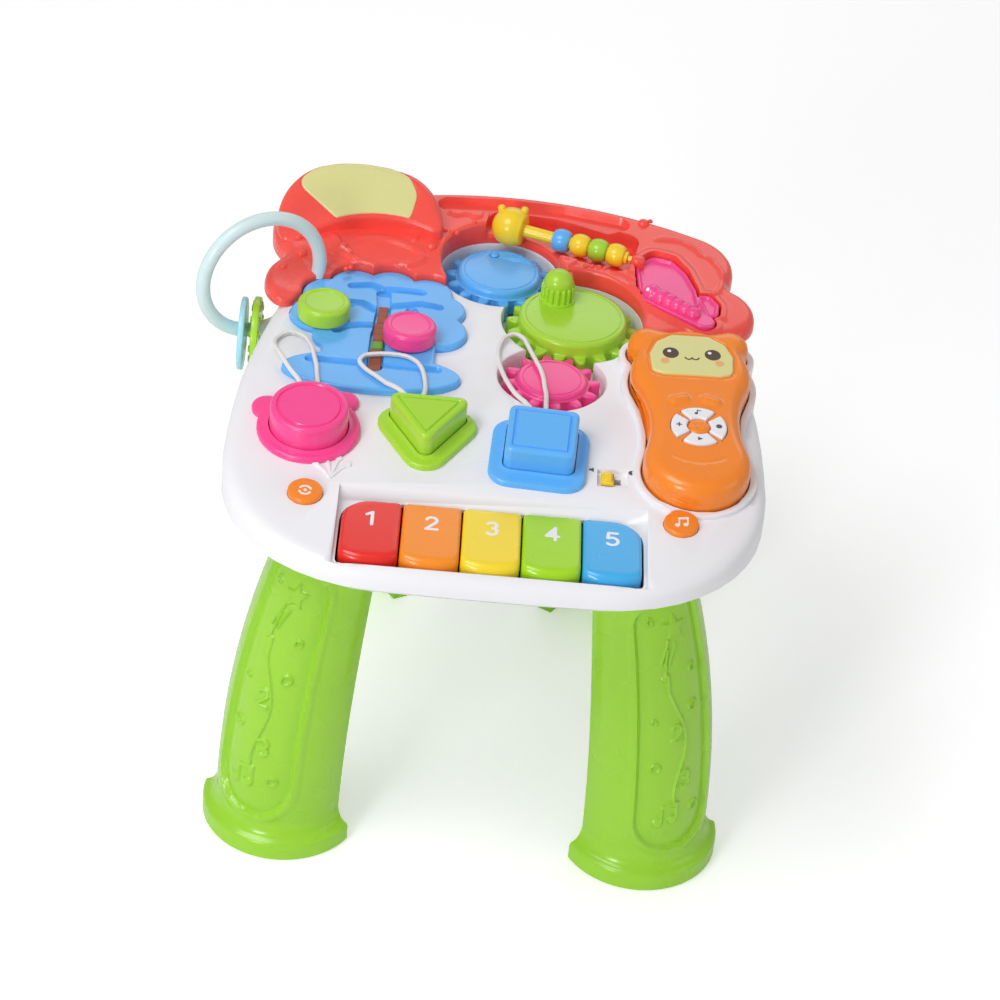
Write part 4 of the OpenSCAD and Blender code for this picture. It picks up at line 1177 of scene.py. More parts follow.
def polar(x, y, r, degrees):
    """The point at a bearing and a reach from (x, y)."""
    a = math.radians(degrees)
    return x + r * math.cos(a), y + r * math.sin(a)


def hood_chain():
    """The hood's outline as circles that touch."""
    low_right, low_left = [136, 84, 30, 1], [-128, 82, 32, 1]
    dome, crown, lobe_r, tip = [-108, 143, 52, 1], [-82, 42, 60, -1], 37, 8
    lobe = [*polar(*BOW[:2], BOW[2] - lobe_r, 63.9), lobe_r, 1]
    end = [*polar(*GREEN_WELL[:2], GREEN_WELL[2] + tip, -8), tip, 1]
    return [
        low_right, bridge(low_right, lobe, tip, -1, -1), lobe, BOW, bridge(BOW, dome, 12, -1, -1),
        dome, bridge(dome, low_left, tip, -1, -1), low_left, bridge(low_left, crown, tip, 1, -1),
        crown, bridge(crown, BLUE_WELL, tip, 1, 1), BLUE_WELL,
        bridge(BLUE_WELL, GREEN_WELL, tip, 1, 1), GREEN_WELL, end,
        bridge(end, low_right, 900, 1, 1),
    ]


HOOD_OUTLINE = arc_points(hood_chain(), 0.0, 4.0, 3.0)
SLOT_OUTLINE = rounded([(-17, 148), (76, 118), (82, 126), (88, 158), (34, 178), (-12, 182)], 8)
# The wings' corners with the radius of their rounding, and the body from head to tail
WINGS = (
    ([(88, 98), (130, 78), (127, 104), (121, 124), (112, 139), (98, 143), (86, 130)], 6),
    ([(126, 98), (133, 71), (141, 76), (142, 88), (136, 99)], 4),
)
INSECT_BODY = ((97, 92), (131, 67))
INSECT_BOX = (76, 50, 156, 156)
# The crown's circles, the ground's ellipse and the block behind the trunk
CROWN = [
    (-120, 50, 20), (-116, 74, 18), (-100, 88, 17), (-76, 90, 17), (-52, 84, 17),
    (-43, 66, 17), (-44, 40, 20), (-82, 52, 34), (-106, 26, 18),
]
GROUND = (-83, -13.5, 57, 21.5)
BLOCK = ((-117, -10), (-43.5, -10), (-43.5, 40), (-117, 30))


def insect_field(grow):
    """Inside the butterfly's plan, grown by a gap."""
    wings = [shape_field(rounded(wing, r, grow)) for wing, r in WINGS]
    return any_of(*wings, bar_field(*INSECT_BODY, 7.5 + grow))


def tree_field(grow):
    """Inside the tree panel: crown, trunk and ground, grown by a gap."""
    x, y, a, b = GROUND
    ellipse = [
        (x + (a + grow) * math.cos(t * math.pi / 36), y + (b + grow) * math.sin(t * math.pi / 36))
        for t in range(72)
    ]
    block = [(bx + (grow if bx > x else -grow), by) for bx, by in BLOCK]
    crown = [disc_field(cx, cy, r + grow) for cx, cy, r in CROWN]
    return any_of(*crown, shape_field(ellipse), shape_field(block))


TREE_GAP = 0.7
TREE_BAY = tree_field(TREE_GAP)
# How far the hood sinks towards the tree, and from which distance
HOOD_SINKS, SINK_FROM, SINK_TO = 3.6, 2, 30


def tree_distance(p):
    """Distance outside the tree's bay."""
    return np.maximum(-TREE_BAY(p), 0)


def hood_plane(p):
    """The hood's sloping top, which sinks towards the tree."""
    sunk = HOOD_SINKS * (1 - ramp(tree_distance(p), SINK_FROM, SINK_TO))
    return DECK + HOOD_H + (p[:, 1] - HOOD_Y) * HOOD_RISE - sunk


def hood_rounding(p):
    """The hood's edge: well rounded outside, tighter along the gear bays and the tree."""
    wells = (BLUE_WELL, GREEN_WELL)
    inner = [np.abs(np.hypot(p[:, 0] - x, p[:, 1] - y) - r) for x, y, r, _ in wells]
    inner.append(tree_distance(p))
    return 2.4 + 4.6 * ramp(np.min(inner, axis=0), 8, 26)


# Small round bumps of the hood: place and radius
HOOD_BUMPS = [
    (-47.6, 148, 2), (-44, 147.4, 1.8), (-39.6, 146.4, 2), (-36, 145.6, 1.8), (52.4, 120.6, 2),
    (56.5, 120.9, 1.8), (61.2, 120.8, 2), (65.2, 120, 1.8), (-24.5, 160.5, 1.8), (96, 180, 1.8),
    (-107.4, 98.6, 1.8), (-104.6, 100.8, 1.8), (91.3, 176.5, 4), (-52.1, 127.5, 3.6),
    (41.8, 108.6, 2.6), (-138, 108, 3.4), (-142, 124, 3.0), (-149, 92, 2.6),
]
SLOT_FLOOR, BED_FLOOR = DECK + 6, DECK + 3


def hood_relief():
    """Slot, butterfly bed, gutter and the small reliefs of the hood."""
    r = Relief()
    slot, slot_box = shape_field(SLOT_OUTLINE), box_of(SLOT_OUTLINE, 4)
    r.add(slot, slot_box, rise=-0.8, slope=4.0, lines=(-1, -0.3, 0.3))
    r.add(lambda p: slot(p) + 0.9, slot_box, floor=SLOT_FLOOR)
    whole = shape_field(HOOD_OUTLINE)
    swell = all_of(insect_field(5.2), lambda p: whole(p) - 3)
    r.add(swell, INSECT_BOX, rise=1.5, slope=3.4)
    r.add(all_of(insect_field(0.9), lambda p: whole(p) - 4), INSECT_BOX, floor=BED_FLOOR)
    gutter = arc_field(*BOW[:2], 284.5, 75, 98.5, 7.4)
    r.add(gutter, (-60, 150, 90, 200), rise=-5.0, slope=2.0, lines=(-1, -0.3, 0.3, 1))
    lens, lens_box = all_of(disc_field(-85, 94, 39), disc_field(-84, 141, 39)), (-112, 96, -58, 140)
    r.add(lens, lens_box, rise=2.0, slope=1.4, lines=SOFT)
    r.add(lambda p: lens(p) - 4.5, lens_box, rise=-1.4, slope=1.2, lines=SOFT)
    for line in ([(-118, 130), (-113, 121), (-106, 116)], [(-60, 150), (-64, 133)]):
        r.add(line_field(line, 2.0), box_of(line, 5), rise=1.2, slope=2.0, lines=SOFT)
    for arc in ((109, 137, 23, 20, 110), (112, 120, 33, -40, 45)):
        r.add(arc_field(*arc, 1.5), (90, 80, 155, 170), rise=1.0, slope=2.0)
    for arc in ((54, 22, 62), (60, 18, 50)):
        r.add(arc_field(*GREEN_WELL[:2], *arc, 1.3), (60, 78, 100, 130), rise=-1.0, slope=2.2)
    cloud = any_of(disc_field(-37, 170, 5), disc_field(-31, 173, 6), disc_field(-24, 170, 5))
    r.add(cloud, (-46, 160, -14, 184), rise=1.0, slope=1.6, lines=SOFT)
    tip = line_field([(35, 125), (40, 120), (44, 125)], 2.4)
    heart = any_of(disc_field(36.5, 128, 4), disc_field(43, 127.5, 4), tip)
    r.add(heart, (28, 114, 52, 136), rise=1.0, slope=1.6, lines=SOFT)
    flower = any_of(*[disc_field(*polar(-124, 104, 7, k * 60), 4.5) for k in range(6)])
    r.add(flower, (-138, 90, -110, 118), rise=-1.1, slope=1.8)
    return r


class TABLE_OT_hood(bpy.types.Operator):
    """Makes the red rear hood with its slot, beds and reliefs"""

    bl_idname = "activity_table.hood"
    bl_label = "Rear hood"

    def execute(self, context):
        def field(p):
            return np.minimum(shape_field(HOOD_OUTLINE)(p), -TREE_BAY(p))

        hood = moulding(
            "rear_hood_moulding", field, box_of(HOOD_OUTLINE, 4), DECK, hood_plane, hood_rounding,
            relief=hood_relief(), drop=lambda p: hood_rounding(p) * 0.95, grid=2.2,
        )
        bumps = [hood]
        for x, y, radius in HOOD_BUMPS:
            z = float(hood_plane(np.array([(x, y)]))[0])
            profile = [(radius, z - 0.6), *quarter(radius, z, 0, z + radius * 0.75)]
            bumps.append(turned("bump", profile, (x, y, 0), sides=24))
        stand_in(join(bumps, "rear_hood_skin"), "rear_hood")
        profile = [(5, 305), (5, 315.5), *quarter(5, 315.5, 1.5, 318.4), (0, 318.5)]
        foot = turned("rod_rest", profile, (87.5, 130.3, 0), sides=40)
        place(foot, "table", "red_shell")
        return {"FINISHED"}


# The dome in the hood's sloping frame: two round cheeks, a slope for the screen and a bite in front
DOME_TOE = 119.0
DOME_RISE = 0.444
DOME_BITE = [-86, 57, 85, -1]
DOME_BOX = (-150, 110, -50, 184)


def dome_chain():
    """The dome's outline as circles that touch."""
    left, right, tip = [-118, 142, 40, 1], [-83, 143, 38, 1], 6
    return [
        right, bridge(left, right, 120, 1, -1), left, bridge(left, DOME_BITE, tip, 1, -1),
        DOME_BITE, bridge(DOME_BITE, right, tip, 1, -1),
    ]


DOME_OUTLINE = arc_points(dome_chain(), 0.0, 4.0, 2.5)
SCREEN_OUTLINE = [
    (-105, 128), (-77, 130), (-67, 145), (-64, 160), (-70, 172), (-84, 180), (-100, 182),
    (-118, 181), (-136, 174), (-148, 162),
]
SCREEN_CORNERS = [8, 8, 11, 13, 13, 13, 13, 13, 12, 8]


def from_bite(p):
    """Distance behind the bite's edge."""
    return np.hypot(p[:, 0] - DOME_BITE[0], p[:, 1] - DOME_BITE[1]) - DOME_BITE[2]


def dome_field(p):
    """Inside the dome's plan, behind the line where its slope leaves the hood."""
    return np.minimum(shape_field(DOME_OUTLINE)(p), p[:, 1] - DOME_TOE - 0.5)


def dome_rounding(p):
    """Wide rounding at the cheeks and a narrow lip over the bite."""
    return 2.0 + 6.5 * ramp(from_bite(p), 3, 18)


def dome_plane(p):
    """The dome's slope."""
    return 0.3 + DOME_RISE * np.maximum(p[:, 1] - DOME_TOE, 0)


def dome_drop(p):
    """How far the rounding falls at the dome's edge."""
    return np.minimum(1.25 * dome_rounding(p), 0.94 * dome_plane(p))


def dome_surface(p):
    """The height of the dome's skin, with its rounding."""
    t = np.clip(dome_field(p) / dome_rounding(p), 0, 1)
    return dome_plane(p) - dome_drop(p) * (1 - np.sqrt(1 - (1 - t) ** 2))


class TABLE_OT_dome(bpy.types.Operator):
    """Makes the red dome and its pale screen"""

    bl_idname = "activity_table.dome"
    bl_label = "Dome"

    def execute(self, context):
        window = shape_field(rounded(SCREEN_OUTLINE, SCREEN_CORNERS))

        def screen_edge(p):
            return np.minimum(window(p), from_bite(p) - 2.2)

        relief = Relief()
        relief.add(lambda p: 0.5 - np.abs(screen_edge(p)), DOME_BOX, rise=-0.7, slope=0.8)
        dome = moulding(
            "dome_moulding", dome_field, box_of(DOME_OUTLINE, 4), -4.5, dome_plane, dome_rounding,
            relief=relief, drop=dome_drop, grid=2.2, to_world=on_hood,
        )
        stand_in(dome, "dome_cover")
        screen = moulding(
            "dome_screen_panel",
            lambda p: np.minimum(screen_edge(p) - 0.35, dome_field(p) - 0.8),
            (-150, 110, -50, 186),
            lambda p: dome_surface(p) - 1.5, lambda p: dome_surface(p) + 0.45,
            0.9, drop=0.7, grid=2.4, step=0.8, to_world=on_hood,
        )
        stand_in(screen, "hood_screen")
        return {"FINISHED"}


TREE_TOP = DECK + 4.0
TREE_BOX = (-150, -42, -18, 114)
KNOB_TRACKS = (((-118, 45), (-101, 64)), ((-61, 26), (-61, 60)))
# The bark's three lengths: middle, lower end, upper end and half width
BARK = ((-81.4, -12.5, 13.5, 3.9), (-80.8, 23.5, 44, 3.7), (-79.8, 44.3, 64, 3.2))
BARK_TOP = TREE_TOP - 1.3


def tree_relief():
    """The sunk branches, the trunk's channel and the long groove of the ground."""
    r = Relief()
    whole = (-145, -40, -20, 112)
    branches = (
        ([(-101.4, 85), (-89.5, 87.8), (-81.3, 83.5), (-70.2, 84.3), (-56.1, 83.8)], 3.3),
        ([(-78, 62.4), (-65.4, 66.6), (-55.4, 69.7), (-43.9, 67.4)], 3.2),
        ([(-101.3, 64.9), (-94.3, 64.9), (-86, 58)], 3.3),
        ([(-108.2, 30.2), (-102.3, 35.7), (-94, 38.6), (-84, 39.3)], 3.3),
    )
    r.add(any_of(*[line_field(*b) for b in branches]), whole, rise=-3.3, slope=1.2)
    tracks = any_of(*[bar_field(a, b, 4.0) for a, b in KNOB_TRACKS])
    r.add(tracks, whole, floor=DECK + 0.6, slope=0.9)
    r.add(bar_field((-122.6, -5.9), (-41.7, -6.8), 3.2), whole, rise=-2.6, slope=1.2)
    trunk = (
        ([(-81.5, -9), (-81, 30)], 5.0), ([(-80.6, 30), (-80, 50)], 4.8),
        ([(-80, 50), (-79.5, 64), (-81, 82)], 4.6),
    )
    r.add(any_of(*[line_field(*t) for t in trunk]), whole, rise=-3.6, slope=0.9)
    return r


class TABLE_OT_tree(bpy.types.Operator):
    """Makes the blue tree panel, its trunk and its two sliding knobs"""

    bl_idname = "activity_table.tree"
    bl_label = "Tree"

    def execute(self, context):
        panel = moulding(
            "tree_panel_moulding", tree_field(0.0), TREE_BOX, DECK - 1.4, TREE_TOP,
            1.8, relief=tree_relief(), drop=1.6, grid=2.2, step=0.8,
        )
        stand_in(panel, "tree_panel", 40)
        marks = Relief()
        for y in range(-12, 64, 7):
            box = (-88, y - 3, -72, y + 4)
            marks.add(bar_field((-86, y), (-75, y + 0.8), 0.5), box, rise=-0.35, slope=0.9)

        def bark(name, x, low, high, half, lift=0.0, relief=None):
            outline = [(x - half, low), (x + half, low), (x + half, high), (x - half, high)]
            return moulding(
                name, shape_field(outline), box_of(outline, 2), DECK + 0.4, BARK_TOP + lift, 0.7,
                relief=relief, grid=1.6, step=0.4, spacing=0.9,
            )

        pieces = [bark(f"bark_{k}", *size, 0.15 * k, marks) for k, size in enumerate(BARK)]
        stand_in(join(pieces, "trunk_bark"), "trunk_inlay", 40)
        band = plastic("band_green", (90, 163, 7), 0.35, 0.2)
        leaf = smooth(bark("trunk_band", -81, 14, 23, 3.7), 40)
        place(leaf, "table", "part_green", material=band)
        low = TREE_TOP + 0.3
        profile = [
            (0, DECK - 6.7), (7, DECK - 6.7), (7, DECK - 4.3), (3.7, DECK - 4.3), (3.7, low),
            (16.2, low), (17.3, low + 1.0), *quarter(17.3, low + 8.8, 13.9, low + 12.0, 6),
            (12.6, low + 11.75), (12.2, low + 11.35), (11.4, low + 11.25), (0, low + 11.6),
        ]
        for name, track in zip(("tree_knob_green", "tree_knob_pink"), KNOB_TRACKS):
            knob = turned(name + "_turning", profile, (*track[0], 0), sides=72)
            stand_in(knob, name, 35)
        return {"FINISHED"}


SPECIAL |= {
    "rear_hood", "dome_cover", "hood_screen", "tree_panel", "trunk_inlay", "tree_knob_green",
    "tree_knob_pink",
}
STEPS += [TABLE_OT_hood, TABLE_OT_dome, TABLE_OT_tree]


# ---------------------------------------------------------------- legs

LEG_TALL = 250.0
LEG_FOOT_R, LEG_TOP_R = 44.4, 30.5
LEAN_X, LEAN_Y = 29, 12
LEG_WALL = 3.0
SHELL_FROM, SHELL_TO = 172.0, 330.0
# The panel's bearings and heights, its middle bearing, and millimetres for each degree
PANEL = (203.0, 279.0, 28.0, 232.0)
PANEL_MIDDLE, PANEL_SCALE = 241.0, 0.7
PANEL_SHAPE = rounded([(-26, 28), (26, 28), (26, 210), (-26, 229)], [24, 24, 12, 9])
# How far the foot stands out at each height
FLANGE = [
    (0, 7.8), (0.8, 8.6), (11.2, 8.6), (12.6, 8.3), (13.6, 7.3), (14.4, 5.4), (15.6, 3.7),
    (17.4, 2.5), (19.6, 1.4), (22.4, 0.5), (25, 0),
]
# Small rings of the panel: across, up and radius
LEG_RINGS = (
    (-15, 205, 2.2), (14, 168, 2.6), (12, 140, 3.4), (-15, 96, 3.0), (14, 58, 3.2), (-16, 132, 1.6),
)


def shell_radius(z):
    """Outer radius of a leg's half shell at a height."""
    return LEG_FOOT_R - (LEG_FOOT_R - LEG_TOP_R) * (z / LEG_TALL) ** 2.9


def ring_line(x, y, r, half):
    """Inside the line of a circle."""
    return lambda p: half - np.abs(np.hypot(p[:, 0] - x, p[:, 1] - y) - r)


def leg_motifs(flip):
    """Raised lines of the panel, across and up: a star, a wave, digits, a note and bubbles."""
    wave = [(5 * math.sin(z / 15.0) - (z - 130) * 0.05, z) for z in np.arange(62, 186, 3.0)]
    star = [polar(3, 200, 4.4 if k % 2 else 9.5, 90 - 36 * k) for k in range(10)]
    lines = (
        (wave, 0.75), ([(-3, 191), (-9, 176)], 0.7), ([(2, 189), (-4, 174)], 0.7),
        ([(-9.3, 50), (-9.3, 63)], 0.8), ([(0.7, 52), (0.7, 65)], 0.8),
        ([(-9.3, 63), (0.7, 65)], 1.4),
    )
    inside = any_of(
        *[line_field(*line) for line in lines], shape_field(star[::-1]),
        *[digit(n, at, 6.5, 1.2) for n, at in ((1, (-6, 160)), (2, (-1, 122)), (3, (5, 84)))],
        disc_field(-12, 50, 3.2), disc_field(-2, 52, 3.2), *[ring_line(*q, 0.8) for q in LEG_RINGS],
    )
    return lambda p: inside(p * np.array([-1.0 if flip else 1.0, 1.0]))


def panel_relief(panel, motifs, sides, z):
    """What the panel adds to a leg's radius: a raised frame, a sunk face and its motifs."""
    flat = np.stack([(sides - PANEL_MIDDLE) * PANEL_SCALE, np.full(len(sides), float(z))], 1)
    edge = panel(flat)
    frame_and_face = 0.9 * ramp(edge, -7, -3) - 3.4 * ramp(edge, -0.7, 0.7)
    crown = 0.5 * ramp(edge, 0.8, 9)
    return frame_and_face + crown + 1.5 * ramp(motifs(flat), -0.45, 0.35) * ramp(edge, 2.0, 3.5)


def leg_mesh(name, cx, cy, mirror_x, mirror_y):
    """One leg: a half shell with a foot flange, a sunk panel with reliefs, a top and its plug."""
    fine_from, fine_to = PANEL[0] - 10, PANEL[1] + 10
    sides = np.concatenate([
        np.arange(SHELL_FROM, fine_from, 2.4), np.arange(fine_from, fine_to, 1.0),
        np.arange(fine_to, SHELL_TO - 1, 2.4), [SHELL_TO],
    ])
    heights = [z for z, _ in FLANGE] + list(np.arange(26, 236, 0.8))
    heights += [*np.arange(237, 245, 3.0), 246.2, 249.2, LEG_TALL]
    motifs = leg_motifs(mirror_x != mirror_y)
    panel = shape_field(PANEL_SHAPE)
    shelf_z = LEG_TALL - LEG_WALL
    a = np.radians(sides)
    back = np.radians(np.linspace(SHELL_TO, SHELL_FROM, 28))
    half, mid = np.radians((SHELL_TO - SHELL_FROM) / 2), np.radians((SHELL_TO + SHELL_FROM) / 2)
    rings = []
    for z in heights:
        r0 = shell_radius(z)
        lean = (z / LEG_TALL) ** 2.1
        x, y = cx + LEAN_X * lean, cy + LEAN_Y * lean
        over = np.interp(z, *zip(*FLANGE))
        if z == LEG_TALL:
            over -= 0.6
        r = np.full(len(sides), r0 + over)
        if PANEL[2] - 8 < z < PANEL[3] + 8:
            r += panel_relief(panel, motifs, sides, z)
        inside = r0 - LEG_WALL
        chord = inside * math.cos(half) - 1.5
        q = [chord / math.cos(t - mid) if z > shelf_z else inside for t in back]
        rings.append([
            (x + m * math.cos(t), y + m * math.sin(t), z) for m, t in zip([*r, *q], [*a, *back])
        ])
    shelf = next(k for k, z in enumerate(heights) if z > shelf_z)
    for ring, z in ((shelf - 1, shelf_z - 0.01), (shelf, shelf_z)):
        rings[ring] = [
            (px, py, z if k >= len(sides) else pz) for k, (px, py, pz) in enumerate(rings[ring])
        ]
    verts, faces = bridge_rings(rings)
    sx, sy = (-1 if mirror_x else 1), (-1 if mirror_y else 1)
    verts = [(sx * vx, sy * vy, vz) for vx, vy, vz in verts]
    if sx * sy < 0:
        faces = [tuple(reversed(f)) for f in faces]
    shell = mesh_object(name + "_shell", verts, faces)
    px, py = polar(cx + LEAN_X, cy + LEAN_Y, 14, 251)
    profile = [(10, LEG_TALL), (10, 259.2), (9.2, 260)]
    plug = turned(name + "_plug", profile, (sx * px, sy * py, 0), sides=48)
    return join([shell, plug], name + "_moulding")


class TABLE_OT_legs(bpy.types.Operator):
    """Makes the four green legs with their sunk panels and reliefs"""

    bl_idname = "activity_table.legs"
    bl_label = "Legs"

    def execute(self, context):
        for end, cx, cy in (("front", -120, -95), ("rear", -94, -120)):
            for side in ("left", "right"):
                name = f"leg_{end}_{side}"
                stand_in(leg_mesh(name, cx, cy, side == "right", end == "rear"), name, 38)
        return {"FINISHED"}


# ---------------------------------------------------------------- handset

HANDSET_AT = (122.0, -15.0)
HANDSET_LEAN = math.radians(2.5)
HANDSET_LOW = -1.7
HANDSET_TOP = 21.3
SCREEN_SHAPE = [
    (-18, 28), (18, 28), (26, 31), (27, 48), (22, 60), (12, 67), (-12, 67), (-22, 60), (-27, 48),
    (-26, 31),
]
PAD_AT = (1.0, -22.0)
PAD_BOX = (-20, -44, 22, 0)
PAD_TOP = HANDSET_TOP + 1.5


def at_handset(x, y, w):
    """World millimetres from the handset's own frame."""
    c, s = math.cos(HANDSET_LEAN), math.sin(HANDSET_LEAN)
    return on_front(HANDSET_AT[0] + x * c - y * s, HANDSET_AT[1] + x * s + y * c, w)


def handset_chain():
    """The handset's outline: a wide head with two ears, a waist and a round grip."""
    head, ear, grip = [0, 38, 38.5, 1], [27, 67, 12, 1], [0, -46, 33.5, 1]
    waist = bridge(grip, head, 90, -1, -1)
    notch = bridge(head, ear, 8, -1, -1)
    brow = bridge(ear, mirrored(ear), 60, -1, -1)
    left = [mirrored(c) for c in (ear, notch)]
    return [grip, waist, head, notch, ear, brow, *left, head, mirrored(waist)]


HANDSET_OUTLINE = arc_points(handset_chain(), 0.0, 5.0, 2.6)


def pad_field(way, grow=0.0):
    """Inside one arc button of the handset."""
    def field(p):
        x, y = p[:, 0] - PAD_AT[0], p[:, 1] - PAD_AT[1]
        r = np.hypot(x, y)
        off = np.abs((np.degrees(np.arctan2(y, x)) - way + 180) % 360 - 180)
        side = (38 - off) * math.pi / 180 * np.maximum(r, 3)
        return np.minimum(np.minimum(r - 7.5, 17.5 - r), side) + grow

    return field


def handset_surface(p):
    """The handset's face: a low crown."""
    return HANDSET_TOP - 0.9 * np.clip((p[:, 0] / 38) ** 2, 0, 1)


def decal(name, field, box, surface, thick=0.16, grid=1.4, to_world=None, step=0.35, spacing=0.7,
          sink=0.4):
    """A thin raised shape that lies on a surface."""
    surface = level(surface)
    return moulding(
        name, field, box, lambda p: surface(p) - sink, lambda p: surface(p) + thick, 0.12,
        drop=0.06, grid=grid, step=step, spacing=spacing, to_world=to_world,
    )


def decals(name, fields, *args, **settings):
    """Several decals as one piece."""
    return join([decal(f"{name}_{k}", f, *args, **settings) for k, f in enumerate(fields)], name)


def icon_up(x, y):
    """A note."""
    stem = line_field([(x - 0.5, y - 1), (x - 0.5, y + 1.8)], 0.35)
    flag = line_field([(x - 0.5, y + 1.8), (x + 1.7, y + 1.2)], 0.4)
    return any_of(disc_field(x - 1.3, y - 1.2, 1.1), stem, flag)


def icon_left(x, y):
    """A plus."""
    bars = ([(x - 1.6, y), (x + 1.6, y)], [(x, y - 1.6), (x, y + 1.6)])
    return any_of(*[line_field(bar, 0.45) for bar in bars])


def icon_right(x, y):
    """A ring."""
    return ring_line(x, y, 1.5, 0.45)


def icon_down(x, y):
    """An arrowhead."""
    return shape_field([(x - 1.4, y - 1.7), (x + 1.9, y), (x - 1.4, y + 1.7)])


# The arc buttons: bearing, name and sign
PADS = ((90, "up", icon_up), (180, "left", icon_left), (0, "right", icon_right),
        (270, "down", icon_down))


class TABLE_OT_handset(bpy.types.Operator):
    """Makes the orange play handset with its face, paws and arc buttons"""

    bl_idname = "activity_table.handset"
    bl_label = "Handset"

    def execute(self, context):
        dress("handset_back", 0.6, 3)
        relief = Relief()
        screen = shape_field(rounded(SCREEN_SHAPE, 5))
        frame_box = (-34, 18, 34, 74)
        relief.add(lambda p: 1.4 - np.abs(screen(p) + 0.5), frame_box, rise=-0.9, slope=1.2)
        for way, _, _ in PADS:
            relief.add(pad_field(way, 0.45), PAD_BOX, floor=HANDSET_TOP - 2.6, slope=0.5)
        for x in (-10, 10):
            s = math.copysign(3, x)
            paw = bar_field((x - s, 4.5), (x + s, 2.5), 3.0)
            relief.add(paw, (-20, -4, 20, 12), rise=1.9, slope=4.0, lines=SOFT)
        relief.add(disc_field(*PAD_AT, 6.2), (-8, -32, 12, -12), rise=0.8, slope=1.4, lines=SOFT)
        dots = any_of(disc_field(-1.5, -23, 1.0), disc_field(3.5, -23, 1.0))
        relief.add(dots, (-5, -26, 7, -20), rise=0.7, slope=1.0, lines=SOFT)
        relief.add(arc_field(0, -28, 27, 232, 308, 0.5), (-30, -62, 30, -40), rise=-0.5)
        front = moulding(
            "handset_shell", any_of(shape_field(HANDSET_OUTLINE), disc_field(0, 44.5, 33)),
            box_of(HANDSET_OUTLINE, 4), HANDSET_LOW + 9.8, handset_surface, 9.5, relief=relief,
            drop=8.6, grid=1.9, spacing=1.4, to_world=at_handset,
        )
        stand_in(front, "handset_front", 44)

        def glass(p):
            return handset_surface(p) + 0.9

        panel = moulding(
            "handset_glass", lambda p: screen(p) - 0.15, (-32, 22, 32, 70), HANDSET_TOP - 2.5,
            glass, 1.6, drop=0.9, to_world=at_handset,
        )
        stand_in(panel, "handset_screen", 44)

        def face(name, fields, box, slot, surface=glass, material=None, **settings):
            marks = decals(name, fields, box, surface, to_world=at_handset, **settings)
            place(marks, "handset", slot, material=material)

        mouth = any_of(*[arc_field(x, 44.5, 2.2, 190, 350, 0.5) for x in (-2.2, 2.2)])
        eyes = [disc_field(-13.5, 48, 5.2), disc_field(13.5, 48, 5.2), mouth]
        face("face_eyes", eyes, (-20, 38, 20, 56), "rubber",
             material=plastic("face_black", (84, 58, 50), 0.3, 0.3))
        shine = [disc_field(-14.4, 49.6, 1.3), disc_field(11.6, 49.6, 1.3)]
        face("face_shine", shine, (-18, 44, 18, 54), "white_shell", lambda p: glass(p) + 0.16,
             thick=0.1, sink=0.05)
        cheeks = [disc_field(-17.5, 40, 2.8), disc_field(17.5, 40, 2.8)]
        face("face_blush", cheeks, (-24, 33, 24, 44), "cream_screen",
             material=plastic("face_blush", (238, 178, 110), 0.35, 0.2))
        for way, end, sign in PADS:
            body = "handset_button_" + end
            cap = moulding(
                "arc_button_" + end, pad_field(way), PAD_BOX, HANDSET_TOP - 3.0, PAD_TOP, 1.2,
                drop=1.1, grid=1.3, step=0.4, spacing=0.9, to_world=at_handset,
            )
            stand_in(cap, body, 44)
            x, y = polar(*PAD_AT, 12.5, way)
            icon = decal("arc_icon_" + end, sign(x, y), (x - 5, y - 5, x + 5, y + 5), PAD_TOP,
                         0.08, 0.9, at_handset, 0.2, 0.4, 0.3)
            place(icon, BODY_OF[body], "rubber", material=icon_dark())
        return {"FINISHED"}


SPECIAL |= {f"leg_{end}_{side}" for end in ("front", "rear") for side in ("left", "right")}
SPECIAL |= {"handset_button_" + end for _, end, _ in PADS}
SPECIAL |= {"handset_front", "handset_back", "handset_screen"}
STEPS += [TABLE_OT_legs, TABLE_OT_handset]


# ---------------------------------------------------------------- keys and round buttons

FRONT_NORMAL = (0.0, -math.sin(TILT), math.cos(TILT))
KEY_PITCH, KEY_GAP = 36.7, 0.9
KEY_REAR, KEY_FRONT, KEY_LOW = -103.0, -156.0, -12.0
KEY_AXIS = (-84.0, -14.0)
KEY_TOP_REAR, KEY_TOP_RISE = -3.0, 5.0
KEY_SLOTS = ("key_red", "key_orange", "key_yellow", "key_lime", "key_blue")


def key_top(p):
    """A key's top, which rises a little towards the child."""
    return KEY_TOP_REAR + (KEY_REAR - p[:, 1]) * KEY_TOP_RISE / (KEY_REAR - KEY_FRONT)


# The digits' strokes as lists of points, and their arcs as middle, radius and two bearings
DIGITS = {
    1: ([(-0.45, 0.6), (0.1, 1)], [(0.1, 1), (0.1, -1)]),
    2: ((0, 0.45, 0.52, -35, 165), [(0.43, 0.15), (-0.55, -0.95), (0.6, -0.95)]),
    3: ((0, 0.5, 0.48, -80, 150), (0, -0.45, 0.52, -150, 80)),
    4: ([(0.3, -1), (0.3, 1), (-0.6, -0.4), (0.65, -0.4)],),
    5: ([(0.5, 0.95), (-0.4, 0.95), (-0.5, 0.12)], (-0.05, -0.38, 0.6, -140, 125)),
}


def digit(n, at, size, r):
    """One digit from 1 to 5 about a place, with half its height and half its line width."""
    parts = []
    for sign in DIGITS[n]:
        if isinstance(sign, list):
            parts.append(line_field([(at[0] + x * size, at[1] + y * size) for x, y in sign], r))
        else:
            x, y, radius, start, end = sign
            middle = (at[0] + x * size, at[1] + y * size)
            parts.append(arc_field(*middle, radius * size, start, end, r))
    return any_of(*parts)


